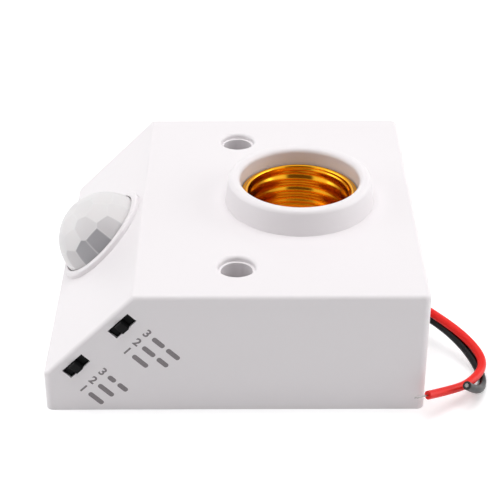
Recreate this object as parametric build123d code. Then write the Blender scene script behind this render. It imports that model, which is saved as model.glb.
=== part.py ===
"""Motion sensor lamp holder: a white box with a screw lamp socket on top, a domed
sensor lens on its sloped end, two slide switches and two bare-ended supply leads.

Millimetres. The origin is the centre of the back, which lies against the wall or
ceiling. +Z runs out of the lamp socket, -X is the sloped lens end and -Y the side
with the two switches.
"""
import math
import os

from build123d import *

# Housing: a box whose -X end slopes back below the top
BODY_LENGTH = 93.0
BODY_WIDTH = 94.0
BODY_HEIGHT = 33.0
SLOPE_RUN = 22.5
SLOPE_RISE = 22.5
SIDE_WALL = 2.0
TOP_WALL = 2.0
SLOPE_WALL = 1.8
UPRIGHT_EDGE_RADIUS = 1.8
TOP_EDGE_RADIUS = 1.1
RIM_WALL = 1.0
OVERCUT = 1.0

# Lamp socket
SOCKET_X = 16.8
COLLAR_BASE_WALL = 3.9
COLLAR_TOP_WALL = 3.0
COLLAR_BORE_RADIUS = 15.5
COLLAR_HEIGHT = 6.75
COLLAR_EDGE_RADIUS = 1.35
WELL_WALL = 1.7
SHELL_THREAD_RADIUS = 13.4
SHELL_SHEET = 0.4
SHELL_LENGTH = 20.2
SHELL_MOUTH_DEPTH = 4.05
SHELL_FLARE_RADIUS = 15.1
SHELL_FLARE_HEIGHT = 2.0
SHELL_STEP_RADIUS = 11.2
SHELL_STEP_HEIGHT = 4.2
SHELL_FLOOR_HOLE_RADIUS = 7.2
SPIGOT_HEIGHT = 1.5
SOCKET_FIT = 0.15
SOCKET_BASE_THICKNESS = 3.2
SOCKET_EAR_OFFSET = 20.0
SOCKET_EAR_RADIUS = 3.0
SOCKET_EAR_ANGLES = (60.0, 240.0)
RIVET_RADIUS = 1.0
RIVET_HEAD_RADIUS = 1.7
RIVET_HEAD_HEIGHT = 0.5
SHELL_RIVET_OFFSET = 9.2
CONTACT_RIVET_OFFSET = 4.5
CONTACT_WIDTH = 4.8
CONTACT_SHEET = 0.5
CONTACT_RISE = 3.4
CONTACT_TIP_START = -0.4
CONTACT_TIP_END = 3.4
TAG_SHEET = 0.5
TAG_WIDTH = 4.0
TAG_REACH = 7.0
HOOKUP_RADIUS = 0.8
HOOKUP_TAG_INSET = 2.5
HOOKUP_BOARD_REACH = 3.0
HOOKUP_FALL = 5.0
SHELL_WIRE_SHIFT = 2.0
CONTACT_WIRE_SHIFT = -3.0

# Back plate and the screws that hold it
PLATE_THICKNESS = 2.2
PLATE_FIT = 0.15
PLATE_CORNER_RADIUS = 2.0
BOSS_RADIUS = 3.0
PILOT_RADIUS = 1.1
BOSS_EDGE_INSET = 6.0
LENS_END_BOSS_X = -14.0
SCREW_RADIUS = 1.05
SCREW_HEAD_RADIUS = 2.6
SCREW_LENGTH = 9.0
SCREW_TIP_GAP = 2.0
DRIVE_SLOT_REACH = 1.4
DRIVE_SLOT_WIDTH = 0.6
DRIVE_SLOT_DEPTH = 0.8
PAN_HEAD_HEIGHT = 1.4
SCREW_HOLE_RADIUS = 1.5
RIB_THICKNESS = 1.2
RIB_HEIGHT = 1.2
TOP_RIB_DEPTH = 4.0

# Wall-fixing holes
FIXING_X = 0.5
FIXING_SPACING = 66.5
FIXING_HOLE_RADIUS = 2.15
ACCESS_BORE_RADIUS = 3.9
ACCESS_TUBE_WALL = 1.5
COUNTERBORE_RADIUS = 4.5
COUNTERBORE_DEPTH = 1.5
COUNTERBORE_EDGE_RADIUS = 0.9
PLATE_TO_TUBE_GAP = 0.1

# Sensor lens, in the slope's own frame
LENS_RADIUS = 12.5
LENS_CENTRE_DEPTH = 1.1
LENS_WALL = 0.9
LENS_FACET_WALL = 0.4
LENS_HOLE_CLEARANCE = 0.15
LENS_FLANGE_RADIUS = 14.4
LENS_FLANGE_THICKNESS = 1.0
LENS_FACET_COUNTS = (5, 10, 15)
LENS_FACET_TILT_ANGLES = (22.0, 44.5, 67.0)
LENS_FACET_FIRST_ANGLES = (36.0, 0.0, 0.0)
LENS_LIP_WIDTH = 1.5
LENS_LIP_HEIGHT = 1.4
LENS_LIP_EDGE = 0.65
RETAINER_WALL = 2.4

# Sensor board and what it carries
BOARD_THICKNESS = 1.6
SWITCH_AXIS_DEPTH = 3.9
SWITCH_HEIGHT = 3.6
SWITCH_LENGTH = 12.0
SWITCH_DEPTH = 5.0
SWITCH_SHEET = 0.4
SWITCH_BASE_THICKNESS = 1.2
SWITCH_SPACING = 16.4
SWITCH_FRONT_GAP = 1.0
SLOT_LENGTH = 7.0
SLOT_WIDTH = 2.95
SLOT_WALL = 0.7
SLOT_POCKET_GAP = 0.4
KNOB_LENGTH = 2.0
KNOB_CLEARANCE = 0.15
KNOB_PROUD = 1.2
KNOB_TRAVEL = 2.0
KNOB_EDGE = 0.3
SLIDER_LENGTH = 8.8
SLIDER_HEIGHT = 3.2
STEM_SIZE = 1.6
STEM_REACH = 3.6
PIN_SIZE = 0.6
SWITCH_PIN_PITCH = 2.5
SWITCH_PIN_COUNT = 4
SENSOR_BOARD_LOW = -13.0
SENSOR_BOARD_HIGH = 15.0
SENSOR_BOARD_REAR = 29.0
SENSOR_BOARD_FRONT_GAP = 1.2
SENSOR_BOSS_RADIUS = 2.75
SENSOR_BOSS_PLACES = (-31.0, 24.0)
SMALL_SCREW_RADIUS = 0.9
SMALL_SCREW_HEAD_RADIUS = 2.0
SMALL_SCREW_HEAD_HEIGHT = 1.3
SMALL_SCREW_LENGTH = 4.6
SMALL_PILOT_RADIUS = 0.95
SMALL_HOLE_CLEARANCE = 0.2
PIR_CAN_RADIUS = 4.1
PIR_FLANGE_RADIUS = 4.6
PIR_FLANGE_THICKNESS = 0.5
PIR_CAN_HEIGHT = 4.0
PIR_SHEET = 0.3
PIR_WINDOW = (4.6, 3.4, 0.4)
PIR_PIN_CIRCLE = 2.54
PIR_PIN_ANGLES = (0.0, 90.0, 180.0)
LIGHT_CELL_RADIUS = 2.4
LIGHT_CELL_HEIGHT = 2.1
LIGHT_CELL_FLAT = 2.05
LIGHT_CELL_PLACE = (-7.6, 5.0)

# Main board and its components, placed from the middle of the board's lens-end edge
MAIN_BOARD_Z = 5.0
MAIN_BOARD_END_GAP = 6.5
MAIN_BOARD_LENGTH = 30.5
MAIN_BOARD_WIDTH = 75.0
POST_RADIUS = 2.6
POST_INSET = 3.4
RELAY_SIZE = (15.2, 19.0, 15.4)
RELAY_PLACE = (22.4, -22.0)
RELAY_EDGE = 0.8
FILM_CAPACITOR_SIZE = (8.5, 18.0, 15.0)
FILM_CAPACITOR_EDGE = 1.0
FILM_CAPACITOR_PLACE = (24.0, 8.0)
CAN_CAPACITOR_RADIUS = 4.0
CAN_CAPACITOR_HEIGHT = 12.0
CAN_GROOVE_RADIUS = 0.5
CAN_GROOVE_DEPTH = 0.3
CAN_CAPACITOR_PLACES = ((14.0, 4.0), (14.0, 14.0))
CHIP_SIZE = (6.4, 19.3, 3.3)
CHIP_STANDOFF = 0.5
CHIP_PLACE = (6.5, -8.0)
CHIP_PIN_PITCH = 2.54
CHIP_END_MARGIN = 0.7
CHIP_LEG_ROOT = 0.2
CHIP_LEG_REACH = 0.5
DISC_RADIUS = 3.6
DISC_THICKNESS = 3.2
VARISTOR_PLACE = (23.0, 27.5)
FUSE_RADIUS = 2.0
FUSE_LENGTH = 10.0
FUSE_PLACE = (18.0, 31.8)
DIODE_RADIUS = 1.35
DIODE_LENGTH = 5.2
DIODE_ROW_X = 5.6
DIODE_FIRST_Y = 10.0
DIODE_PITCH = 4.2
DIODE_COUNT = 4
RESISTOR_RADIUS = 1.15
RESISTOR_LENGTH = 6.3
RESISTOR_ROW_X = 9.4
RESISTOR_FIRST_Y = -30.5
RESISTOR_PITCH = 3.4
RESISTOR_COUNT = 4
WIRE_LEG_RADIUS = 0.35
LEG_OVERHANG = 1.4
LYING_GAP = 0.2
TRANSISTOR_RADIUS = 2.3
TRANSISTOR_HEIGHT = 4.6
TRANSISTOR_FLAT = 1.2
TRANSISTOR_LEG_HEIGHT = 2.0
TRANSISTOR_LEG_PITCH = 1.27
TRANSISTOR_PLACE = (16.0, -9.5)
LINK_WIRE_RADIUS = 0.3
LINK_WIRE_PITCH = 2.54
LINK_WIRE_COUNT = 5
LINK_WIRE_S = -10.0

# Supply leads and their hole
LEAD_DIAMETER = 2.2
STRAND_DIAMETER = 0.9
LEAD_HOLE_Y = -11.4
LEAD_HOLE_Z = 7.8
LEAD_HOLE_SIZE = (6.6, 5.6)
LEAD_HOLE_CORNER = 1.4
LEAD_ARC_SHARE = 0.45

# Supply leads: corner points from the main board, below the socket, out of the
# +X wall and round to the bare ends in front of the housing
RED_LEAD_POINTS = (
    (-10.5, 23.0, 7.7),
    (0.0, 22.6, 7.7),
    (12.0, 15.8, 7.8),
    (29.0, 2.4, 7.8),
    (43.0, -8.6, 9.2),
    (52.1, -18.7, 8.8),
    (59.7, -26.9, 6.8),
    (63.4, -33.4, 3.8),
    (58.8, -41.4, 3.5),
    (53.2, -46.2, 4.6),
    (47.3, -50.5, 6.3),
)
RED_STRAND_LENGTH = 4.6
BLACK_LEAD_POINTS = (
    (-10.5, 19.5, 7.7),
    (0.0, 19.3, 7.7),
    (11.0, 14.0, 5.8),
    (28.0, 1.6, 5.4),
    (43.0, -8.8, 6.8),
    (52.6, -18.7, 6.0),
    (59.1, -27.5, 3.8),
    (62.3, -35.0, 1.1),
    (61.3, -40.4, 1.3),
    (58.9, -44.9, 4.0),
    (56.5, -47.7, 7.2),
)
BLACK_STRAND_LENGTH = 0.6

# Values worked out from the sizes above
LENS_END_X = -BODY_LENGTH / 2
LEAD_END_X = BODY_LENGTH / 2
FRONT_Y = -BODY_WIDTH / 2
REAR_Y = BODY_WIDTH / 2
COLLAR_TOP_Z = BODY_HEIGHT + COLLAR_HEIGHT
COLLAR_BASE_RADIUS = COLLAR_BORE_RADIUS + COLLAR_BASE_WALL
COLLAR_OUTER_RADIUS = COLLAR_BORE_RADIUS + COLLAR_TOP_WALL
WELL_OUTER_RADIUS = COLLAR_BORE_RADIUS + WELL_WALL
SHELL_MOUTH_Z = COLLAR_TOP_Z - SHELL_MOUTH_DEPTH
SHELL_FLOOR_Z = SHELL_MOUTH_Z - SHELL_LENGTH
WELL_END_Z = SHELL_FLOOR_Z - SPIGOT_HEIGHT
SOCKET_BASE_UNDERSIDE_Z = WELL_END_Z - SOCKET_BASE_THICKNESS
BOARD_TOP_DEPTH = SWITCH_AXIS_DEPTH + SWITCH_HEIGHT / 2
BOARD_UNDER_DEPTH = BOARD_TOP_DEPTH + BOARD_THICKNESS
INNER_FRONT_Y = FRONT_Y + SIDE_WALL
SLOT_POCKET_Y = FRONT_Y + SLOT_WALL
SWITCH_FRONT_Y = SLOT_POCKET_Y + SWITCH_FRONT_GAP
SWITCH_REAR_Y = SWITCH_FRONT_Y + SWITCH_DEPTH
MAIN_BOARD_TOP_Z = MAIN_BOARD_Z + BOARD_THICKNESS
MAIN_BOARD_LOW_X = LENS_END_X + SIDE_WALL + MAIN_BOARD_END_GAP
MAIN_BOARD_HIGH_X = MAIN_BOARD_LOW_X + MAIN_BOARD_LENGTH
LENS_HOLE_RADIUS = LENS_RADIUS + LENS_HOLE_CLEARANCE
FIXING_PLACES = ((FIXING_X, -FIXING_SPACING / 2), (FIXING_X, FIXING_SPACING / 2))
SLOPE = Plane(
    origin=(LENS_END_X + SLOPE_RUN / 2, 0, BODY_HEIGHT - SLOPE_RISE / 2),
    x_dir=(SLOPE_RUN, 0, SLOPE_RISE),
    z_dir=(-SLOPE_RISE, 0, SLOPE_RUN),
)


def cylinder(radius, low_z, high_z, x=0.0, y=0.0):
    """Upright cylinder between two heights."""
    return Pos(x, y, (low_z + high_z) / 2) * Cylinder(radius, high_z - low_z)


def block(low, high):
    """Box between two corners."""
    size = [b - a for a, b in zip(low, high)]
    middle = [(a + b) / 2 for a, b in zip(low, high)]
    return Pos(*middle) * Box(*size)


def on_slope(shape):
    """Places a shape that was modelled in the slope's frame."""
    return SLOPE.location * shape


def polar(radius, angle, x=0.0, y=0.0):
    """Point at a radius and an angle in degrees about a centre."""
    turn = math.radians(angle)
    return (x + radius * math.cos(turn), y + radius * math.sin(turn))


def base_screw_places():
    """The four corner bosses that take the back plate's screws."""
    inset_y = BODY_WIDTH / 2 - BOSS_EDGE_INSET
    lead_end_x = LEAD_END_X - BOSS_EDGE_INSET
    return [(x, y) for x in (LENS_END_BOSS_X, lead_end_x) for y in (-inset_y, inset_y)]


def socket_ear_places():
    """The two ears that fasten the socket base under the well."""
    return [polar(SOCKET_EAR_OFFSET, angle, SOCKET_X) for angle in SOCKET_EAR_ANGLES]


def end_profile():
    """Outline of the housing in the XZ plane."""
    return Polyline(
        (LENS_END_X, 0),
        (LEAD_END_X, 0),
        (LEAD_END_X, BODY_HEIGHT),
        (LENS_END_X + SLOPE_RUN, BODY_HEIGHT),
        (LENS_END_X, BODY_HEIGHT - SLOPE_RISE),
        close=True,
    )


def cavity_profile():
    """Outline of the hollow: each wall moved in by its own thickness."""
    slope_length = math.hypot(SLOPE_RUN, SLOPE_RISE)
    run, rise = SLOPE_RUN / slope_length, SLOPE_RISE / slope_length
    start_x = SLOPE.origin.X + SLOPE_WALL * rise
    start_z = SLOPE.origin.Z - SLOPE_WALL * run
    inner_x = LENS_END_X + SIDE_WALL
    inner_top = BODY_HEIGHT - TOP_WALL
    low_z = start_z + (inner_x - start_x) / run * rise
    high_x = start_x + (inner_top - start_z) / rise * run
    return Polyline(
        (inner_x, -OVERCUT),
        (LEAD_END_X - SIDE_WALL, -OVERCUT),
        (LEAD_END_X - SIDE_WALL, inner_top),
        (high_x, inner_top),
        (inner_x, low_z),
        close=True,
    )


def outer_block():
    """The housing's outer form with its rounded edges."""
    body = extrude(Plane.XZ * make_face(end_profile()), BODY_WIDTH / 2, both=True)
    body = fillet(body.edges().filter_by(Axis.Z), UPRIGHT_EDGE_RADIUS)
    above_back = body.edges().filter_by(lambda edge: edge.center().Z > PLATE_THICKNESS)
    upright = body.edges().filter_by(Axis.Z)
    return fillet(above_back - upright, TOP_EDGE_RADIUS)


def collar():
    """Raised tapering ring round the lamp socket, with the well that runs on inside."""
    root_z = BODY_HEIGHT - TOP_WALL / 2
    ring = cylinder(COLLAR_BASE_RADIUS, root_z, BODY_HEIGHT, SOCKET_X)
    ring += Pos(SOCKET_X, 0, (BODY_HEIGHT + COLLAR_TOP_Z) / 2) * Cone(
        COLLAR_BASE_RADIUS, COLLAR_OUTER_RADIUS, COLLAR_HEIGHT
    )
    ring -= cylinder(COLLAR_BORE_RADIUS, root_z - OVERCUT, COLLAR_TOP_Z + OVERCUT, SOCKET_X)
    ring = fillet(ring.edges().group_by(Axis.Z)[-1], COLLAR_EDGE_RADIUS)
    well = cylinder(WELL_OUTER_RADIUS, WELL_END_Z, root_z, SOCKET_X)
    return ring, well


def housing_shell():
    """One white moulding: box, collar, socket well, screw tubes, bosses, ribs and switch pockets."""
    under_top = BODY_HEIGHT - TOP_WALL / 2
    inner_top = BODY_HEIGHT - TOP_WALL
    shell = outer_block()
    shell -= extrude(Plane.XZ * make_face(cavity_profile()), BODY_WIDTH / 2 - SIDE_WALL, both=True)
    rebate = RectangleRounded(BODY_LENGTH - 2 * RIM_WALL, BODY_WIDTH - 2 * RIM_WALL, PLATE_CORNER_RADIUS)
    shell -= extrude(rebate, PLATE_THICKNESS)
    ring, well = collar()
    shell += ring
    shell += well
    tube_end = PLATE_THICKNESS + PLATE_TO_TUBE_GAP
    tube_radius = ACCESS_BORE_RADIUS + ACCESS_TUBE_WALL
    for x, y in FIXING_PLACES:
        shell += cylinder(tube_radius, tube_end, under_top, x, y)
    for x, y in base_screw_places():
        shell += cylinder(BOSS_RADIUS, PLATE_THICKNESS, under_top, x, y)
    for x, y in socket_ear_places():
        shell += cylinder(SOCKET_EAR_RADIUS, WELL_END_Z, under_top, x, y)
    wall_side = LEAD_END_X - SIDE_WALL / 2
    for side in (-1, 1):
        rib_y = side * COLLAR_BORE_RADIUS / 2
        shell += block(
            (SOCKET_X + COLLAR_BORE_RADIUS, rib_y - RIB_THICKNESS / 2, inner_top - TOP_RIB_DEPTH),
            (wall_side, rib_y + RIB_THICKNESS / 2, under_top),
        )
        low_y, high_y = sorted((side * (BODY_WIDTH - SIDE_WALL) / 2, side * COLLAR_BORE_RADIUS))
        shell += block(
            (SOCKET_X - RIB_THICKNESS / 2, low_y, inner_top - TOP_RIB_DEPTH),
            (SOCKET_X + RIB_THICKNESS / 2, high_y, under_top),
        )
    shell += lens_lip()
    shell += sensor_bosses()
    shell -= cylinder(COLLAR_BORE_RADIUS, WELL_END_Z - OVERCUT, COLLAR_TOP_Z + OVERCUT, SOCKET_X)
    for x, y in FIXING_PLACES:
        shell -= cylinder(ACCESS_BORE_RADIUS, 0, BODY_HEIGHT + OVERCUT, x, y)
        shell -= counterbore(x, y)
    for x, y in base_screw_places():
        shell -= cylinder(PILOT_RADIUS, 0, PLATE_THICKNESS + SCREW_LENGTH, x, y)
    for x, y in socket_ear_places():
        shell -= cylinder(PILOT_RADIUS, 0, WELL_END_Z + SCREW_LENGTH, x, y)
    shell -= on_slope(cylinder(LENS_HOLE_RADIUS, -SLOPE_WALL - OVERCUT, LENS_LIP_HEIGHT + OVERCUT))
    for offset in (-SWITCH_SPACING / 2, SWITCH_SPACING / 2):
        shell -= on_slope(block(
            (offset - SLOT_LENGTH / 2, FRONT_Y - OVERCUT, -SWITCH_AXIS_DEPTH - SLOT_WIDTH / 2),
            (offset + SLOT_LENGTH / 2, INNER_FRONT_Y + OVERCUT, -SWITCH_AXIS_DEPTH + SLOT_WIDTH / 2),
        ))
        half_pocket = SWITCH_LENGTH / 2 + SLOT_POCKET_GAP
        shell -= on_slope(block(
            (offset - half_pocket, SLOT_POCKET_Y, -BOARD_TOP_DEPTH - SLOT_POCKET_GAP),
            (offset + half_pocket, INNER_FRONT_Y + OVERCUT, -SLOPE_WALL),
        ))
    shell -= lead_hole()
    return shell


def counterbore(x, y):
    """Space above a screw tube's ledge, with the rounded edge at the top of the box."""
    low, high = BODY_HEIGHT - COUNTERBORE_DEPTH, BODY_HEIGHT
    mouth = COUNTERBORE_RADIUS + COUNTERBORE_EDGE_RADIUS
    round_z = high - COUNTERBORE_EDGE_RADIUS
    half_way = COUNTERBORE_EDGE_RADIUS * (1 - math.sqrt(0.5))
    profile = Polyline((0, low), (COUNTERBORE_RADIUS, low), (COUNTERBORE_RADIUS, round_z))
    profile += ThreePointArc(
        (COUNTERBORE_RADIUS, round_z),
        (COUNTERBORE_RADIUS + half_way, high - half_way),
        (mouth, high),
    )
    profile += Polyline((mouth, high), (mouth, high + OVERCUT), (0, high + OVERCUT), (0, low))
    return Pos(x, y, 0) * revolve(Plane.XZ * make_face(profile), Axis.Z)


def lens_lip():
    """Raised ring that frames the lens on the slope."""
    outer = LENS_HOLE_RADIUS + LENS_LIP_WIDTH
    lip = cylinder(outer, -SLOPE_WALL / 2, LENS_LIP_HEIGHT)
    lip = fillet(lip.edges().group_by(Axis.Z)[-1], LENS_LIP_EDGE)
    return on_slope(lip)


def sensor_bosses():
    """Short bosses under the slope that carry the sensor board."""
    bosses = []
    for y in SENSOR_BOSS_PLACES:
        boss = cylinder(SENSOR_BOSS_RADIUS, -BOARD_TOP_DEPTH, -SLOPE_WALL / 2, 0, y)
        boss -= cylinder(SMALL_PILOT_RADIUS, -BOARD_TOP_DEPTH - OVERCUT, -SLOPE_WALL, 0, y)
        bosses.append(on_slope(boss))
    return bosses


def lead_hole():
    """Rounded opening in the +X wall for the two supply leads."""
    outline = RectangleRounded(LEAD_HOLE_SIZE[0], LEAD_HOLE_SIZE[1], LEAD_HOLE_CORNER)
    outside = Plane(
        origin=(LEAD_END_X + OVERCUT, LEAD_HOLE_Y, LEAD_HOLE_Z), x_dir=(0, 1, 0), z_dir=(1, 0, 0)
    )
    return extrude(outside * outline, -(SIDE_WALL + 2 * OVERCUT))


def base_plate():
    """Back plate: it sits in the housing's rebate and carries the main board."""
    gap = RIM_WALL + PLATE_FIT
    outline = RectangleRounded(BODY_LENGTH - 2 * gap, BODY_WIDTH - 2 * gap, PLATE_CORNER_RADIUS)
    plate = extrude(outline, PLATE_THICKNESS)
    for x, y in main_post_places():
        plate += cylinder(POST_RADIUS, PLATE_THICKNESS / 2, MAIN_BOARD_Z, x, y)
    rib_top = PLATE_THICKNESS + RIB_HEIGHT
    rib_reach = FIXING_SPACING / 2 - ACCESS_BORE_RADIUS - ACCESS_TUBE_WALL - RIB_THICKNESS
    for x in (FIXING_X, SOCKET_X + COLLAR_BORE_RADIUS):
        plate += block(
            (x - RIB_THICKNESS / 2, -rib_reach, PLATE_THICKNESS / 2),
            (x + RIB_THICKNESS / 2, rib_reach, rib_top),
        )
    for x, y in main_post_places():
        plate -= cylinder(SMALL_PILOT_RADIUS, PLATE_THICKNESS / 2, MAIN_BOARD_Z + OVERCUT, x, y)
    for x, y in FIXING_PLACES:
        plate -= cylinder(FIXING_HOLE_RADIUS, -OVERCUT, PLATE_THICKNESS + OVERCUT, x, y)
    for x, y in base_screw_places():
        plate -= cylinder(SCREW_HOLE_RADIUS, -OVERCUT, PLATE_THICKNESS + OVERCUT, x, y)
        sink = SCREW_HEAD_RADIUS - SCREW_RADIUS
        plate -= Pos(x, y, sink / 2) * Cone(SCREW_HEAD_RADIUS + PLATE_FIT, SCREW_RADIUS + PLATE_FIT, sink)
    return plate


def countersunk_screw(x, y):
    """Self-tapping screw that comes in from the back, its head flush with the plate."""
    sink = SCREW_HEAD_RADIUS - SCREW_RADIUS
    head = Pos(x, y, sink / 2) * Cone(SCREW_HEAD_RADIUS, SCREW_RADIUS, sink)
    screw = head + cylinder(SCREW_RADIUS, sink / 2, PLATE_THICKNESS + SCREW_LENGTH - SCREW_TIP_GAP, x, y)
    half = DRIVE_SLOT_WIDTH / 2
    for reach_x, reach_y in ((DRIVE_SLOT_REACH, half), (half, DRIVE_SLOT_REACH)):
        screw -= block((x - reach_x, y - reach_y, -OVERCUT), (x + reach_x, y + reach_y, DRIVE_SLOT_DEPTH))
    return screw


def pan_screw(head_z, length, shank, head_radius, head_height, upward=True):
    """Pan-head screw on the Z axis, its head's seat at head_z."""
    way = 1 if upward else -1
    low, high = sorted((head_z, head_z - way * head_height))
    head = cylinder(head_radius, low, high)
    low, high = sorted((head_z - way * head_height / 2, head_z + way * length))
    return head + cylinder(shank, low, high)


def base_screws():
    """Four screws that close the housing."""
    return [countersunk_screw(x, y) for x, y in base_screw_places()]


def socket_base():
    """Moulded disc that closes the well and carries the lamp contacts."""
    base = cylinder(WELL_OUTER_RADIUS, SOCKET_BASE_UNDERSIDE_Z, WELL_END_Z, SOCKET_X)
    base += cylinder(COLLAR_BORE_RADIUS - SOCKET_FIT, SOCKET_BASE_UNDERSIDE_Z, SHELL_FLOOR_Z, SOCKET_X)
    for angle, (x, y) in zip(SOCKET_EAR_ANGLES, socket_ear_places()):
        base += cylinder(SOCKET_EAR_RADIUS, SOCKET_BASE_UNDERSIDE_Z, WELL_END_Z, x, y)
        arm = block(
            (COLLAR_BORE_RADIUS, -SOCKET_EAR_RADIUS, SOCKET_BASE_UNDERSIDE_Z),
            (SOCKET_EAR_OFFSET, SOCKET_EAR_RADIUS, WELL_END_Z),
        )
        base += Pos(SOCKET_X, 0, 0) * (Rot(0, 0, angle) * arm)
    for x, y in socket_ear_places():
        base -= cylinder(SCREW_HOLE_RADIUS, 0, WELL_END_Z + OVERCUT, x, y)
    for x, y in rivet_places():
        base -= cylinder(RIVET_RADIUS, 0, SHELL_FLOOR_Z + OVERCUT, x, y)
    return base


def rivet_places():
    """Two rivets for the screw shell, then the one for the centre contact."""
    return [
        (SOCKET_X, -SHELL_RIVET_OFFSET),
        (SOCKET_X, SHELL_RIVET_OFFSET),
        (SOCKET_X - CONTACT_RIVET_OFFSET, 0.0),
    ]


def socket_base_screws():
    """Two screws that hold the socket base against the well."""
    screws = []
    for x, y in socket_ear_places():
        screw = pan_screw(
            SOCKET_BASE_UNDERSIDE_Z, SCREW_LENGTH, SCREW_RADIUS, SCREW_HEAD_RADIUS, PAN_HEAD_HEIGHT
        )
        screws.append(Pos(x, y, 0) * screw)
    return screws


def screw_shell():
    """Pressed brass sleeve for the lamp cap: flared mouth, thread bore, step and floor."""
    outer = SHELL_THREAD_RADIUS + SHELL_SHEET
    step_outer = SHELL_STEP_RADIUS + SHELL_SHEET
    step_z = SHELL_FLOOR_Z + SHELL_STEP_HEIGHT
    flare_start = SHELL_MOUTH_Z - SHELL_FLARE_HEIGHT
    profile = Polyline(
        (SHELL_FLOOR_HOLE_RADIUS, SHELL_FLOOR_Z),
        (step_outer, SHELL_FLOOR_Z),
        (step_outer, step_z),
        (outer, step_z),
        (outer, flare_start),
        (SHELL_FLARE_RADIUS, SHELL_MOUTH_Z - SHELL_SHEET),
        (SHELL_FLARE_RADIUS, SHELL_MOUTH_Z),
        (SHELL_FLARE_RADIUS - SHELL_SHEET, SHELL_MOUTH_Z),
        (SHELL_THREAD_RADIUS, flare_start + SHELL_SHEET),
        (SHELL_THREAD_RADIUS, step_z + SHELL_SHEET),
        (SHELL_STEP_RADIUS, step_z + SHELL_SHEET),
        (SHELL_STEP_RADIUS, SHELL_FLOOR_Z + SHELL_SHEET),
        (SHELL_FLOOR_HOLE_RADIUS, SHELL_FLOOR_Z + SHELL_SHEET),
        close=True,
    )
    sleeve = revolve(Plane.XZ * make_face(profile), Axis.Z)
    sleeve = Pos(SOCKET_X, 0, 0) * sleeve
    for x, y in rivet_places()[:2]:
        sleeve -= cylinder(RIVET_RADIUS, 0, SHELL_FLOOR_Z + OVERCUT, x, y)
    return sleeve


def rivet(x, y, top_z, under_z):
    """Rivet with a head on top and a closed head below."""
    body = cylinder(RIVET_RADIUS, under_z - RIVET_HEAD_HEIGHT / 2, top_z + RIVET_HEAD_HEIGHT / 2, x, y)
    body += cylinder(RIVET_HEAD_RADIUS, top_z, top_z + RIVET_HEAD_HEIGHT, x, y)
    return body + cylinder(RIVET_HEAD_RADIUS, under_z - RIVET_HEAD_HEIGHT, under_z, x, y)


def tag_under_z():
    """Underside of the two solder tags below the socket base."""
    return SOCKET_BASE_UNDERSIDE_Z - TAG_SHEET


def shell_rivets():
    """Two rivets through the shell's floor and the socket base."""
    first, second, _ = rivet_places()
    top = SHELL_FLOOR_Z + SHELL_SHEET
    return [rivet(*first, top, tag_under_z()), rivet(*second, top, SOCKET_BASE_UNDERSIDE_Z)]


def contact_rivet():
    """Rivet that holds the centre contact and its tag."""
    x, y = rivet_places()[2]
    return rivet(x, y, SHELL_FLOOR_Z + CONTACT_SHEET, tag_under_z())


def centre_contact():
    """Springy brass tongue: flat foot, rising arm and flat tip on the lamp's axis."""
    foot_x = SOCKET_X - CONTACT_RIVET_OFFSET
    foot_start = foot_x - RIVET_HEAD_RADIUS
    rise_start = foot_x + RIVET_HEAD_RADIUS + CONTACT_SHEET
    low, high = SHELL_FLOOR_Z, SHELL_FLOOR_Z + CONTACT_RISE
    tip_start = SOCKET_X + CONTACT_TIP_START
    tip_end = SOCKET_X + CONTACT_TIP_END
    strip = make_face(Polyline(
        (foot_start, low),
        (rise_start, low),
        (tip_start, high),
        (tip_end, high),
        (tip_end, high + CONTACT_SHEET),
        (tip_start - CONTACT_SHEET / 2, high + CONTACT_SHEET),
        (rise_start - CONTACT_SHEET / 2, low + CONTACT_SHEET),
        (foot_start, low + CONTACT_SHEET),
        close=True,
    ))
    tongue = extrude(Plane.XZ * strip, CONTACT_WIDTH / 2, both=True)
    return tongue - cylinder(RIVET_RADIUS, 0, high, foot_x)


def solder_tag(place):
    """Flat tag under the socket base, from its rivet towards the main board."""
    x, y = place
    tag = block(
        (x - TAG_REACH, y - TAG_WIDTH / 2, tag_under_z()),
        (x + TAG_WIDTH / 2, y + TAG_WIDTH / 2, SOCKET_BASE_UNDERSIDE_Z),
    )
    return tag - cylinder(RIVET_RADIUS, 0, WELL_END_Z, x, y)


def rounded_path(points):
    """Straight runs joined by arcs as large as their two runs allow."""
    corners = [Vector(*point) for point in points]
    runs = [b - a for a, b in zip(corners, corners[1:])]
    radii = []
    for before, after in zip(runs, runs[1:]):
        turn = math.radians(before.get_angle(after))
        radii.append(LEAD_ARC_SHARE * min(before.length, after.length) / math.tan(turn / 2))
    return FilletPolyline(*corners, radius=radii), radii


def tube(points, radius):
    """Round wire or lead swept along its rounded path."""
    path, _ = rounded_path(points)
    section = Plane(origin=path @ 0, z_dir=path % 0) * Circle(radius)
    return sweep(section, path)


def hookup_wire(tag_place, board_y):
    """Insulated wire from a tag's underside to the top of the main board."""
    x, y = tag_place
    start_x = x - TAG_REACH + HOOKUP_TAG_INSET
    start_z = tag_under_z() - HOOKUP_RADIUS
    end_z = MAIN_BOARD_TOP_Z + HOOKUP_RADIUS
    middle_x = (start_x + MAIN_BOARD_HIGH_X - HOOKUP_BOARD_REACH) / 2
    return tube(
        (
            (start_x, y, start_z),
            (middle_x + HOOKUP_FALL / 2, y, start_z),
            (middle_x - HOOKUP_FALL / 2, board_y, end_z),
            (MAIN_BOARD_HIGH_X - HOOKUP_BOARD_REACH, board_y, end_z),
        ),
        HOOKUP_RADIUS,
    )


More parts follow.
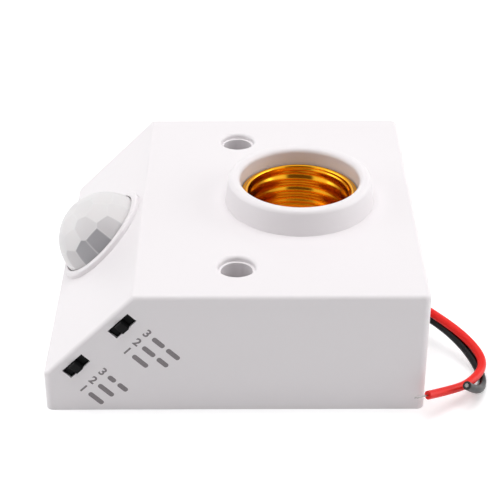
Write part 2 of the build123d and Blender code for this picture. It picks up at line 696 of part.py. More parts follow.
def lens_facet_planes(ball_radius):
    """Planes that touch a ball inside the lens: one at the pole, then ring by ring."""
    centre = Vector(0, 0, -LENS_CENTRE_DEPTH)
    directions = [Vector(0, 0, 1)]
    for count, tilt, first in zip(LENS_FACET_COUNTS, LENS_FACET_TILT_ANGLES, LENS_FACET_FIRST_ANGLES):
        for index in range(count):
            lean = math.radians(tilt)
            x, y = polar(math.sin(lean), first + 360 / count * index)
            directions.append(Vector(x, y, math.cos(lean)))
    return [Plane(origin=centre + way * ball_radius, z_dir=way) for way in directions]


def fresnel_lens():
    """Milky dome, smooth outside and faceted inside, with a flange behind the slope."""
    flange_under = -SLOPE_WALL - LENS_FLANGE_THICKNESS
    ball = Pos(0, 0, -LENS_CENTRE_DEPTH) * Sphere(LENS_RADIUS)
    lens = ball & cylinder(LENS_RADIUS, -LENS_CENTRE_DEPTH, LENS_RADIUS)
    lens += cylinder(LENS_RADIUS, flange_under, -LENS_CENTRE_DEPTH)
    lens += cylinder(LENS_FLANGE_RADIUS, flange_under, -SLOPE_WALL)
    hollow = cylinder(LENS_RADIUS - LENS_FACET_WALL, flange_under - OVERCUT, LENS_RADIUS)
    for plane in lens_facet_planes(LENS_RADIUS - LENS_WALL):
        hollow = split(hollow, bisect_by=plane, keep=Keep.BOTTOM)
    return on_slope(lens - hollow)


def lens_retainer():
    """Ring between the lens's flange and the sensor board."""
    high = -SLOPE_WALL - LENS_FLANGE_THICKNESS
    ring = cylinder(LENS_FLANGE_RADIUS, -BOARD_TOP_DEPTH, high)
    ring -= cylinder(LENS_FLANGE_RADIUS - RETAINER_WALL, -BOARD_TOP_DEPTH - OVERCUT, high + OVERCUT)
    return on_slope(ring)


def sensor_board():
    """Board parallel to the slope, with the sensor, the light cell and both switches."""
    board = block(
        (SENSOR_BOARD_LOW, INNER_FRONT_Y + SENSOR_BOARD_FRONT_GAP, -BOARD_UNDER_DEPTH),
        (SENSOR_BOARD_HIGH, SENSOR_BOARD_REAR, -BOARD_TOP_DEPTH),
    )
    for y in SENSOR_BOSS_PLACES:
        board -= cylinder(SMALL_SCREW_RADIUS + SMALL_HOLE_CLEARANCE, -BOARD_UNDER_DEPTH - OVERCUT, 0, 0, y)
    return on_slope(board)


def sensor_board_screws():
    """Two small screws from below into the slope's bosses."""
    screws = []
    for y in SENSOR_BOSS_PLACES:
        screw = pan_screw(
            -BOARD_UNDER_DEPTH, SMALL_SCREW_LENGTH, SMALL_SCREW_RADIUS,
            SMALL_SCREW_HEAD_RADIUS, SMALL_SCREW_HEAD_HEIGHT,
        )
        screws.append(on_slope(Pos(0, y, 0) * screw))
    return screws


def pir_sensor_can():
    """Metal can of the heat sensor, with a hole for its window."""
    seat = -BOARD_TOP_DEPTH
    can = cylinder(PIR_FLANGE_RADIUS, seat, seat + PIR_FLANGE_THICKNESS)
    can += cylinder(PIR_CAN_RADIUS, seat, seat + PIR_CAN_HEIGHT)
    length, width, thickness = PIR_WINDOW
    can -= block((-length / 2, -width / 2, seat + PIR_CAN_HEIGHT - thickness), (length / 2, width / 2, 0))
    return on_slope(can)


def pir_window():
    """Filter window in the top of the sensor can."""
    high = -BOARD_TOP_DEPTH + PIR_CAN_HEIGHT
    length, width, thickness = PIR_WINDOW
    return on_slope(block((-length / 2, -width / 2, high - thickness), (length / 2, width / 2, high)))


def pir_pins():
    """Three sensor pins that show below the board."""
    pins = []
    for angle in PIR_PIN_ANGLES:
        x, y = polar(PIR_PIN_CIRCLE, angle)
        low = -BOARD_UNDER_DEPTH - LEG_OVERHANG
        pins.append(on_slope(cylinder(LINK_WIRE_RADIUS, low, -BOARD_UNDER_DEPTH, x, y)))
    return pins


def light_cell():
    """Light-dependent resistor that looks out through the lens."""
    x, y = LIGHT_CELL_PLACE
    seat = -BOARD_TOP_DEPTH
    cell = cylinder(LIGHT_CELL_RADIUS, seat, seat + LIGHT_CELL_HEIGHT, x, y)
    keep = block(
        (x - LIGHT_CELL_FLAT, y - LIGHT_CELL_RADIUS, seat),
        (x + LIGHT_CELL_FLAT, y + LIGHT_CELL_RADIUS, seat + LIGHT_CELL_HEIGHT),
    )
    return on_slope(cell & keep)


def switch_case(offset):
    """Hollow case of a three-position slide switch, open behind, slotted in front."""
    low_z, high_z = -BOARD_TOP_DEPTH, -BOARD_TOP_DEPTH + SWITCH_HEIGHT
    half = SWITCH_LENGTH / 2
    case = block((offset - half, SWITCH_FRONT_Y, low_z), (offset + half, SWITCH_REAR_Y, high_z))
    case -= block(
        (offset - half + SWITCH_SHEET, SWITCH_FRONT_Y + SWITCH_SHEET, low_z + SWITCH_SHEET),
        (offset + half - SWITCH_SHEET, SWITCH_REAR_Y + OVERCUT, high_z - SWITCH_SHEET),
    )
    reach = STEM_SIZE / 2 + KNOB_TRAVEL + 2 * KNOB_CLEARANCE
    rise = STEM_SIZE / 2 + KNOB_CLEARANCE
    case -= block(
        (offset - reach, SWITCH_FRONT_Y - OVERCUT, -SWITCH_AXIS_DEPTH - rise),
        (offset + reach, SWITCH_FRONT_Y + 2 * SWITCH_SHEET, -SWITCH_AXIS_DEPTH + rise),
    )
    return on_slope(case)


def switch_base(offset):
    """Insulating back of a slide switch."""
    low_z, high_z = -BOARD_TOP_DEPTH, -BOARD_TOP_DEPTH + SWITCH_HEIGHT
    half = SWITCH_LENGTH / 2
    return on_slope(block(
        (offset - half, SWITCH_REAR_Y, low_z),
        (offset + half, SWITCH_REAR_Y + SWITCH_BASE_THICKNESS, high_z),
    ))


def switch_pins(offset):
    """Four pins from the switch's back to the sensor board."""
    back = SWITCH_REAR_Y + SWITCH_BASE_THICKNESS
    pins = []
    for index in range(SWITCH_PIN_COUNT):
        x = offset + (index - (SWITCH_PIN_COUNT - 1) / 2) * SWITCH_PIN_PITCH
        pins.append(on_slope(block(
            (x - PIN_SIZE / 2, back, -BOARD_TOP_DEPTH),
            (x + PIN_SIZE / 2, back + PIN_SIZE, -SWITCH_AXIS_DEPTH),
        )))
    return pins


def switch_knob(offset):
    """Black slider: the tip shows in the slot, its plate and stem stay inside."""
    width = SLOT_WIDTH - 2 * KNOB_CLEARANCE
    plate_front = SLOT_POCKET_Y + KNOB_CLEARANCE
    plate_back = SWITCH_FRONT_Y - KNOB_CLEARANCE
    tip = block(
        (offset - KNOB_LENGTH / 2, FRONT_Y - KNOB_PROUD, -SWITCH_AXIS_DEPTH - width / 2),
        (offset + KNOB_LENGTH / 2, plate_back, -SWITCH_AXIS_DEPTH + width / 2),
    )
    tip = fillet(tip.edges().group_by(Axis.Y)[0], KNOB_EDGE)
    plate = block(
        (offset - SLIDER_LENGTH / 2, plate_front, -SWITCH_AXIS_DEPTH - SLIDER_HEIGHT / 2),
        (offset + SLIDER_LENGTH / 2, plate_back, -SWITCH_AXIS_DEPTH + SLIDER_HEIGHT / 2),
    )
    stem = block(
        (offset - STEM_SIZE / 2, plate_front, -SWITCH_AXIS_DEPTH - STEM_SIZE / 2),
        (offset + STEM_SIZE / 2, SWITCH_FRONT_Y + STEM_REACH, -SWITCH_AXIS_DEPTH + STEM_SIZE / 2),
    )
    return on_slope(tip + plate + stem)


def board_link():
    """Straight link wires from the main board up to the sensor board."""
    foot = SLOPE.from_local_coords(Vector(LINK_WIRE_S, 0, -BOARD_UNDER_DEPTH))
    above = on_slope(block(
        (-BODY_LENGTH, -BODY_WIDTH, -BOARD_UNDER_DEPTH),
        (BODY_LENGTH, BODY_WIDTH, BODY_HEIGHT),
    ))
    wires = []
    for index in range(LINK_WIRE_COUNT):
        y = (index - (LINK_WIRE_COUNT - 1) / 2) * LINK_WIRE_PITCH
        wire = cylinder(LINK_WIRE_RADIUS, MAIN_BOARD_TOP_Z, foot.Z + OVERCUT, foot.X, y)
        wires.append(wire - above)
    return wires


def main_post_places():
    """Four posts on the back plate, at the main board's corners."""
    half = MAIN_BOARD_WIDTH / 2 - POST_INSET
    xs = (MAIN_BOARD_LOW_X + POST_INSET, MAIN_BOARD_HIGH_X - POST_INSET)
    return [(x, y) for x in xs for y in (-half, half)]


def main_board():
    """Power and relay board on the back plate's posts."""
    half = MAIN_BOARD_WIDTH / 2
    board = block((MAIN_BOARD_LOW_X, -half, MAIN_BOARD_Z), (MAIN_BOARD_HIGH_X, half, MAIN_BOARD_TOP_Z))
    for x, y in main_post_places():
        board -= cylinder(SMALL_SCREW_RADIUS + SMALL_HOLE_CLEARANCE, 0, BODY_HEIGHT, x, y)
    return board


def main_board_screws():
    """Four small screws down into the posts."""
    screws = []
    for x, y in main_post_places():
        screw = pan_screw(
            MAIN_BOARD_TOP_Z, MAIN_BOARD_TOP_Z - PLATE_THICKNESS, SMALL_SCREW_RADIUS,
            SMALL_SCREW_HEAD_RADIUS, SMALL_SCREW_HEAD_HEIGHT, upward=False,
        )
        screws.append(Pos(x, y, 0) * screw)
    return screws


def on_main_board(place):
    """Point in the body's frame for a place on the main board."""
    return MAIN_BOARD_LOW_X + place[0], place[1]


def boxed_component(place, size, edge):
    """Rectangular component that stands on the main board."""
    x, y = on_main_board(place)
    length, width, height = size
    body = block(
        (x - length / 2, y - width / 2, MAIN_BOARD_TOP_Z),
        (x + length / 2, y + width / 2, MAIN_BOARD_TOP_Z + height),
    )
    return fillet(body.edges().filter_by(Axis.Z), edge)


def can_capacitors():
    """Upright smoothing capacitors with a rolled groove near the foot."""
    cans = []
    for place in CAN_CAPACITOR_PLACES:
        x, y = on_main_board(place)
        top = MAIN_BOARD_TOP_Z + CAN_CAPACITOR_HEIGHT
        can = cylinder(CAN_CAPACITOR_RADIUS, MAIN_BOARD_TOP_Z, top, x, y)
        groove_z = MAIN_BOARD_TOP_Z + CAN_CAPACITOR_RADIUS / 2
        groove_reach = CAN_CAPACITOR_RADIUS + CAN_GROOVE_RADIUS - CAN_GROOVE_DEPTH
        can -= Pos(x, y, groove_z) * Torus(groove_reach, CAN_GROOVE_RADIUS)
        cans.append(can)
    return cans


def control_chip():
    """Control chip with its two rows of legs."""
    x, y = on_main_board(CHIP_PLACE)
    length, width, height = CHIP_SIZE
    low = MAIN_BOARD_TOP_Z + CHIP_STANDOFF
    chip = block((x - length / 2, y - width / 2, low), (x + length / 2, y + width / 2, low + height))
    gaps = int((width - 2 * CHIP_END_MARGIN) / CHIP_PIN_PITCH)
    first = y - gaps / 2 * CHIP_PIN_PITCH
    for index in range(gaps + 1):
        leg_y = first + index * CHIP_PIN_PITCH
        for side in (-1, 1):
            edge = x + side * length / 2
            near, far = sorted((edge - side * CHIP_LEG_ROOT, edge + side * CHIP_LEG_REACH))
            chip += block(
                (near, leg_y - PIN_SIZE / 2, MAIN_BOARD_TOP_Z),
                (far, leg_y + PIN_SIZE / 2, low + height / 2),
            )
    return chip


def disc_component(place, radius, thickness):
    """Upright disc on two short legs, such as a varistor."""
    x, y = on_main_board(place)
    centre_z = MAIN_BOARD_TOP_Z + radius + CHIP_STANDOFF
    disc = Pos(x, y, centre_z) * (Rot(90, 0, 0) * Cylinder(radius, thickness))
    for side in (-1, 1):
        leg_x = x + side * radius / 2
        disc += cylinder(WIRE_LEG_RADIUS, MAIN_BOARD_TOP_Z, centre_z - radius / 2, leg_x, y)
    return disc


def lying_component(place, radius, length):
    """Round component that lies along X on two bent legs."""
    x, y = on_main_board(place)
    centre_z = MAIN_BOARD_TOP_Z + radius + LYING_GAP
    body = Pos(x, y, centre_z) * (Rot(0, 90, 0) * Cylinder(radius, length))
    reach = length / 2 + LEG_OVERHANG
    body += Pos(x, y, centre_z) * (Rot(0, 90, 0) * Cylinder(WIRE_LEG_RADIUS, 2 * reach))
    for side in (-1, 1):
        leg_x = x + side * (reach - WIRE_LEG_RADIUS)
        body += cylinder(WIRE_LEG_RADIUS, MAIN_BOARD_TOP_Z, centre_z, leg_x, y)
    return body


def drive_transistor():
    """Small D-shaped transistor on three legs."""
    x, y = on_main_board(TRANSISTOR_PLACE)
    low = MAIN_BOARD_TOP_Z + TRANSISTOR_LEG_HEIGHT
    body = cylinder(TRANSISTOR_RADIUS, low, low + TRANSISTOR_HEIGHT, x, y)
    body -= block(
        (x + TRANSISTOR_FLAT, y - TRANSISTOR_RADIUS, low - OVERCUT),
        (x + 2 * TRANSISTOR_RADIUS, y + TRANSISTOR_RADIUS, low + TRANSISTOR_HEIGHT + OVERCUT),
    )
    for index in (-1, 0, 1):
        leg_y = y + index * TRANSISTOR_LEG_PITCH
        body += cylinder(WIRE_LEG_RADIUS, MAIN_BOARD_TOP_Z, low + TRANSISTOR_HEIGHT / 2, x, leg_y)
    return body


def row(place, count, pitch, make):
    """Like components in a row along Y."""
    x, y = place
    return [make((x, y + index * pitch)) for index in range(count)]


def strands(points, length):
    """Bare conductor that shows past the end of a lead's insulation."""
    start, before = Vector(*points[-1]), Vector(*points[-2])
    way = (start - before).normalized()
    path = Line(start, start + way * length)
    return sweep(Plane(origin=start, z_dir=way) * Circle(STRAND_DIAMETER / 2), path)


def build_nodes():
    """Every sub-part of the lamp holder by its node name."""
    low, high = -SWITCH_SPACING / 2, SWITCH_SPACING / 2
    first_rivet, _, contact_place = rivet_places()
    nodes = {
        "housing_shell": housing_shell(),
        "base_plate": base_plate(),
        "base_screws": base_screws(),
        "socket_base": socket_base(),
        "socket_base_screws": socket_base_screws(),
        "screw_shell": screw_shell(),
        "shell_rivets": shell_rivets(),
        "centre_contact": centre_contact(),
        "contact_rivet": contact_rivet(),
        "shell_tag": solder_tag(first_rivet),
        "contact_tag": solder_tag(contact_place),
        "shell_wire": hookup_wire(first_rivet, first_rivet[1] + SHELL_WIRE_SHIFT),
        "contact_wire": hookup_wire(contact_place, contact_place[1] + CONTACT_WIRE_SHIFT),
        "fresnel_lens": fresnel_lens(),
        "lens_retainer": lens_retainer(),
        "sensor_board": sensor_board(),
        "sensor_board_screws": sensor_board_screws(),
        "pir_sensor_can": pir_sensor_can(),
        "pir_window": pir_window(),
        "pir_pins": pir_pins(),
        "light_cell": light_cell(),
        "board_link": board_link(),
        "main_board": main_board(),
        "main_board_screws": main_board_screws(),
        "relay": boxed_component(RELAY_PLACE, RELAY_SIZE, RELAY_EDGE),
        "film_capacitor": boxed_component(FILM_CAPACITOR_PLACE, FILM_CAPACITOR_SIZE, FILM_CAPACITOR_EDGE),
        "can_capacitors": can_capacitors(),
        "control_chip": control_chip(),
        "varistor": disc_component(VARISTOR_PLACE, DISC_RADIUS, DISC_THICKNESS),
        "fuse_resistor": lying_component(FUSE_PLACE, FUSE_RADIUS, FUSE_LENGTH),
        "rectifier_diodes": row(
            (DIODE_ROW_X, DIODE_FIRST_Y), DIODE_COUNT, DIODE_PITCH,
            lambda place: lying_component(place, DIODE_RADIUS, DIODE_LENGTH),
        ),
        "resistors": row(
            (RESISTOR_ROW_X, RESISTOR_FIRST_Y), RESISTOR_COUNT, RESISTOR_PITCH,
            lambda place: lying_component(place, RESISTOR_RADIUS, RESISTOR_LENGTH),
        ),
        "drive_transistor": drive_transistor(),
        "red_lead": tube(RED_LEAD_POINTS, LEAD_DIAMETER / 2),
        "red_lead_strands": strands(RED_LEAD_POINTS, RED_STRAND_LENGTH),
        "black_lead": tube(BLACK_LEAD_POINTS, LEAD_DIAMETER / 2),
        "black_lead_strands": strands(BLACK_LEAD_POINTS, BLACK_STRAND_LENGTH),
    }
    for name, offset in (("light_switch", high), ("time_switch", low)):
        nodes[f"{name}_case"] = switch_case(offset)
        nodes[f"{name}_base"] = switch_base(offset)
        nodes[f"{name}_pins"] = switch_pins(offset)
        nodes[f"{name}_knob"] = switch_knob(offset)
    return nodes


def report_lead(name, points):
    """Prints a lead's bend radii and compares its volume with section times length."""
    path, radii = rounded_path(points)
    section = math.pi * (LEAD_DIAMETER / 2) ** 2
    volume = tube(points, LEAD_DIAMETER / 2).volume
    print(name, "length", round(path.length, 1), "radii", [round(radius, 1) for radius in radii])
    print(name, "volume over section times length", round(volume / (section * path.length), 4))


os.makedirs("parts", exist_ok=True)
for node, shape in build_nodes().items():
    whole = Compound(children=list(shape)) if isinstance(shape, list) else shape
    export_step(whole, f"parts/{node}.step")
report_lead("red_lead", RED_LEAD_POINTS)
report_lead("black_lead", BLACK_LEAD_POINTS)
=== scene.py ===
"""Looks of the motion sensor lamp holder.

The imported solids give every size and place. This script dresses them and makes the
pieces whose form is finer than the solids: the moulding with its softened edges, the
brass sleeve with its rolled thread, the faceted lens, the printed marks, the supply
leads and their bare strands. It also sets the studio and the camera.

Sizes in the classes are millimetres, and MM turns them to metres. Angles are degrees
unless a docstring says otherwise.
"""
import logging
import math
from collections.abc import Callable, Iterable
from dataclasses import dataclass, field
from enum import Enum

import bpy
from mathutils import Matrix, Vector


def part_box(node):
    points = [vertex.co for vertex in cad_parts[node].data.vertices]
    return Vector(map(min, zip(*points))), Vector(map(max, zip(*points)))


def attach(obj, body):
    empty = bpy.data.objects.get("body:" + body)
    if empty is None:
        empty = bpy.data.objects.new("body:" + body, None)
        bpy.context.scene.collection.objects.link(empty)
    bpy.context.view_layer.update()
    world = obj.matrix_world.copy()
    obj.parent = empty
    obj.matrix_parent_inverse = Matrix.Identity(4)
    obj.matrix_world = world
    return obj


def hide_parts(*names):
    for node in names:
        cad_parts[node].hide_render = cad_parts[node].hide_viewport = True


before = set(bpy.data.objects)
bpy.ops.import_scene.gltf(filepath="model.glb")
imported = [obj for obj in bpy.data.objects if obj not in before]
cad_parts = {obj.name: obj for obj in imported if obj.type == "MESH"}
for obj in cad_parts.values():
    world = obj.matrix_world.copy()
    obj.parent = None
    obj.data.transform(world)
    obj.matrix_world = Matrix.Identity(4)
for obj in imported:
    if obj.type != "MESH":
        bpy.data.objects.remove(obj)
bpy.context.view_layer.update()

MM = 0.001
WELD_DISTANCE = 0.002
UP = Vector((0.0, 0.0, 1.0))
SLOPE_UP = Vector((1.0, 0.0, 1.0)).normalized()
SLOPE_OUT = Vector((-1.0, 0.0, 1.0)).normalized()
Colour = tuple[float, float, float]
Point = tuple[float, float, float]

logging.basicConfig(level=logging.INFO, format="%(message)s")
log = logging.getLogger("lamp_holder")


class Shading(Enum):
    """How a made piece's faces meet in its shading."""

    ROUNDED = 35.0
    CREASED = 12.0


def deselect() -> None:
    """Deselects every object, so that the next operator acts on one piece."""
    bpy.ops.object.select_all(action="DESELECT")


def pick(piece: bpy.types.Object) -> None:
    """Selects one piece alone and makes it active.

    Args:
        piece: The piece to select.
    """
    deselect()
    piece.select_set(True)
    bpy.context.view_layer.objects.active = piece


def edit(piece: bpy.types.Object, *steps: Callable[[], object]) -> None:
    """Runs operators on one piece in edit mode.

    Args:
        piece: The object to edit.
        steps: Calls to run in edit mode, in order.
    """
    pick(piece)
    bpy.ops.object.mode_set(mode="EDIT")
    for step in steps:
        step()
    bpy.ops.object.mode_set(mode="OBJECT")


def shade(piece: bpy.types.Object, shading: Shading) -> None:
    """Shades a piece smooth, with creases past the shading's angle.

    Args:
        piece: The piece to shade.
        shading: How its faces meet.
    """
    pick(piece)
    bpy.ops.object.shade_smooth_by_angle(angle=math.radians(shading.value))


def apply_modifiers(piece: bpy.types.Object) -> None:
    """Applies all modifiers of a piece, in order.

    Args:
        piece: The piece to finish.
    """
    pick(piece)
    for modifier in list(piece.modifiers):
        bpy.ops.object.modifier_apply(modifier=modifier.name)


def apply_place(piece: bpy.types.Object) -> None:
    """Moves a piece's place, turn and scale into its mesh.

    Args:
        piece: The piece to set at the origin.
    """
    pick(piece)
    bpy.ops.object.transform_apply(location=True, rotation=True, scale=True)


def even_shading(piece: bpy.types.Object) -> None:
    """Keeps flat faces flat in their shading, beside the narrow faces of rounded edges.

    Args:
        piece: The piece to shade.
    """
    weighted = piece.modifiers.new("even shading", "WEIGHTED_NORMAL")
    weighted.mode = "FACE_AREA"
    weighted.weight = 100
    weighted.keep_sharp = True
    apply_modifiers(piece)


def outward(piece: bpy.types.Object) -> None:
    """Turns every face of a piece outwards.

    Args:
        piece: The piece to turn.
    """
    edit(
        piece,
        lambda: bpy.ops.mesh.select_all(action="SELECT"),
        lambda: bpy.ops.mesh.normals_make_consistent(inside=False),
    )


def join(pieces: list[bpy.types.Object], name: str) -> bpy.types.Object:
    """Joins pieces into one object.

    Args:
        pieces: Mesh objects, the first of which stays.
        name: Name of the joined object.

    Returns:
        The joined object.
    """
    pick(pieces[0])
    for piece in pieces[1:]:
        piece.select_set(True)
    bpy.ops.object.join()
    joined = bpy.context.view_layer.objects.active
    joined.name = name
    return joined


def merged_copy(node: str, name: str, flat_angle: float) -> bpy.types.Object:
    """Copies a solid's mesh, merges its loose triangles and joins flat ones into larger faces.

    Args:
        node: Name of the solid.
        name: Name of the copy.
        flat_angle: Faces that meet at less than this many degrees become one, or nought
            to keep every triangle, as flat faces with holes need.

    Returns:
        The copy, with closed faces.
    """
    piece = bpy.data.objects.new(name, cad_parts[node].data.copy())
    bpy.context.scene.collection.objects.link(piece)
    edit(
        piece,
        lambda: bpy.ops.mesh.select_all(action="SELECT"),
        lambda: bpy.ops.mesh.remove_doubles(threshold=WELD_DISTANCE * MM),
    )
    if flat_angle > 0.0:
        edit(piece, lambda: bpy.ops.mesh.dissolve_limited(angle_limit=math.radians(flat_angle)))
    return piece


def wear(piece: bpy.types.Object, material: bpy.types.Material) -> None:
    """Gives a piece one material all over.

    Args:
        piece: The piece to dress.
        material: The material to wear.
    """
    if piece.material_slots:
        for slot in piece.material_slots:
            slot.material = material
    else:
        piece.data.materials.append(material)


def carry(piece: bpy.types.Object, body: str, nodes: Iterable[str] = ()) -> None:
    """Makes a piece ride on a body and hides the solids it stands for.

    Args:
        piece: The finished piece.
        body: Body that it moves with.
        nodes: Solids that it replaces.
    """
    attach(piece, body)
    names = list(nodes)
    if names:
        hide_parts(*names)
    faces = len(piece.data.polygons) if piece.type == "MESH" else 0
    log.info("%s rides on %s, %d faces", piece.name, body, faces)


class NodeTree:
    """Builds the node tree of one material around its Principled shader."""

    def __init__(self, name: str) -> None:
        """Starts a material whose patterns read Object coordinates.

        Args:
            name: Name of the material.
        """
        self.material = bpy.data.materials.new(name)
        self.material.use_nodes = True
        self.nodes = self.material.node_tree.nodes
        self.links = self.material.node_tree.links
        self.shader = self.nodes["Principled BSDF"]
        self.coordinates = self.nodes.new("ShaderNodeTexCoord").outputs["Object"]

    def link(self, source: bpy.types.NodeSocket, target: bpy.types.NodeSocket) -> None:
        """Joins an output to an input."""
        self.links.new(source, target)

    def set(self, **values: float | tuple) -> None:
        """Sets sockets of the shader by name, with _ for a space."""
        for name, value in values.items():
            self.shader.inputs[name.replace("_", " ")].default_value = value

    def mapped(self, scale: Point, centre: Point = (0.0, 0.0, 0.0)) -> bpy.types.NodeSocket:
        """Object coordinates about a centre, scaled along each axis.

        Args:
            scale: Scale along each axis.
            centre: Place that stays at nought, in millimetres.

        Returns:
            The coordinates.
        """
        mapping = self.nodes.new("ShaderNodeMapping")
        mapping.vector_type = "POINT"
        mapping.inputs["Location"].default_value = tuple(-c * s * MM for c, s in zip(centre, scale))
        mapping.inputs["Scale"].default_value = scale
        self.link(self.coordinates, mapping.inputs["Vector"])
        return mapping.outputs["Vector"]

    def noise(self, scale: float, detail: float = 3.0, vector: bpy.types.NodeSocket | None = None,
              roughness: float = 0.55) -> bpy.types.NodeSocket:
        """Noise pattern with so many cells in a metre.

        Args:
            scale: Cells in a metre.
            detail: Finer layers of the pattern.
            vector: Coordinates to read, or None for Object coordinates.
            roughness: Share of the finer layers.

        Returns:
            The pattern, from nought to one.
        """
        noise = self.nodes.new("ShaderNodeTexNoise")
        noise.inputs["Scale"].default_value = scale
        noise.inputs["Detail"].default_value = detail
        noise.inputs["Roughness"].default_value = roughness
        self.link(vector or self.coordinates, noise.inputs["Vector"])
        return noise.outputs["Fac"]

    def ranged(self, value: bpy.types.NodeSocket, low: float, high: float,
               from_low: float = 0.3, from_high: float = 0.7) -> bpy.types.NodeSocket:
        """Maps a pattern's usual range to another range.

        Args:
            value: Pattern to map.
            low: Result at the range's start.
            high: Result at the range's end.
            from_low: Start of the pattern's range.
            from_high: End of the pattern's range.

        Returns:
            The mapped pattern.
        """
        spread = self.nodes.new("ShaderNodeMapRange")
        spread.inputs["From Min"].default_value = from_low
        spread.inputs["From Max"].default_value = from_high
        spread.inputs["To Min"].default_value = low
        spread.inputs["To Max"].default_value = high
        self.link(value, spread.inputs["Value"])
        return spread.outputs["Result"]

    def blend(self, factor: bpy.types.NodeSocket, first: Colour | bpy.types.NodeSocket,
              second: Colour) -> bpy.types.NodeSocket:
        """Colour between two colours by a pattern.

        Args:
            factor: Pattern, nought for the first colour and one for the second.
            first: First colour, plain or from a socket.
            second: Second colour.

        Returns:
            The blended colour.
        """
        mix = self.nodes.new("ShaderNodeMix")
        mix.data_type = "RGBA"
        mix.inputs["B"].default_value = (*second, 1.0)
        self.link(factor, mix.inputs["Factor"])
        if isinstance(first, tuple):
            mix.inputs["A"].default_value = (*first, 1.0)
        else:
            self.link(first, mix.inputs["A"])
        return mix.outputs["Result"]

    def bump(self, height: bpy.types.NodeSocket, depth: float, strength: float = 1.0,
             under: bpy.types.NodeSocket | None = None) -> bpy.types.NodeSocket:
        """Surface relief of so many millimetres.

        Args:
            height: Pattern that gives the relief.
            depth: Depth in millimetres.
            strength: Share of the relief that shows.
            under: Relief that this one lies on.

        Returns:
            The normal for a shader.
        """
        bump = self.nodes.new("ShaderNodeBump")
        bump.inputs["Distance"].default_value = depth * MM
        bump.inputs["Strength"].default_value = strength
        self.link(height, bump.inputs["Height"])
        if under is not None:
            self.link(under, bump.inputs["Normal"])
        return bump.outputs["Normal"]

    def shader_input(self, name: str) -> bpy.types.NodeSocket:
        """Input socket of the shader."""
        return self.shader.inputs[name]

    def calc(self, operation: str, *values: bpy.types.NodeSocket | float) -> bpy.types.NodeSocket:
        """Result of one math operation.

        Args:
            operation: Blender's name of the operation.
            values: Sockets or plain values, in order.

        Returns:
            The result.
        """
        node = self.nodes.new("ShaderNodeMath")
        node.operation = operation
        for socket, value in zip(node.inputs, values):
            if isinstance(value, (int, float)):
                socket.default_value = value
            else:
                self.link(value, socket)
        return node.outputs[0]

    def along(self, vector: bpy.types.NodeSocket, way: Point) -> bpy.types.NodeSocket:
        """Part of a vector along one direction.

        Args:
            vector: The vector.
            way: The direction.

        Returns:
            The vector's length along the direction.
        """
        node = self.nodes.new("ShaderNodeVectorMath")
        node.operation = "DOT_PRODUCT"
        self.link(vector, node.inputs[0])
        node.inputs[1].default_value = way
        return node.outputs["Value"]


@dataclass(frozen=True)
class MouldedPlastic:
    """Injection-moulded plastic: even colour, fine grain, slight flow in its gloss."""

    name: str
    colour: Colour
    flow_colour: Colour
    roughness: float = 0.34
    roughness_spread: float = 0.03
    grain_scale: float = 3200.0
    grain_depth: float = 0.004
    flow_scale: float = 420.0
    specular: float = 0.4

    def material(self) -> bpy.types.Material:
        """Builds the finish.

        Returns:
            The material.
        """
        tree = NodeTree(self.name)
        tree.set(Specular_IOR_Level=self.specular, IOR=1.5)
        flow = tree.noise(self.flow_scale, 4.0)
        tree.link(tree.blend(flow, self.colour, self.flow_colour), tree.shader_input("Base Color"))
        low, high = self.roughness - self.roughness_spread, self.roughness + self.roughness_spread
        tree.link(tree.ranged(flow, low, high), tree.shader_input("Roughness"))
        grain = tree.bump(tree.noise(self.grain_scale, 3.0), self.grain_depth, strength=0.6)
        tree.link(grain, tree.shader_input("Normal"))
        return tree.material


@dataclass(frozen=True)
class PressedMetal:
    """Pressed, rolled or plated metal with faint drawing lines and uneven gloss."""

    name: str
    colour: Colour
    stain: Colour
    roughness: float = 0.18
    roughness_spread: float = 0.06
    line_scale: Point = (60.0, 60.0, 1500.0)
    line_depth: float = 0.004
    stain_scale: float = 120.0
    centre: Point = (0.0, 0.0, 0.0)

    def material(self) -> bpy.types.Material:
        """Builds the finish.

        Returns:
            The material.
        """
        tree = NodeTree(self.name)
        tree.set(Metallic=1.0)
        cloud = tree.noise(self.stain_scale, 4.0)
        stained = tree.blend(tree.ranged(cloud, 0.0, 1.0), self.colour, self.stain)
        tree.link(stained, tree.shader_input("Base Color"))
        low, high = self.roughness - self.roughness_spread, self.roughness + self.roughness_spread
        tree.link(tree.ranged(cloud, low, high), tree.shader_input("Roughness"))
        lines = tree.noise(1.0, 2.0, tree.mapped(self.line_scale, self.centre))
        tree.link(tree.bump(lines, self.line_depth, strength=0.5), tree.shader_input("Normal"))
        return tree.material


@dataclass(frozen=True)
class FacetRing:
    """One ring of facets about the lens's axis, with its angles in degrees."""

    count: int
    tilt: float
    first: float


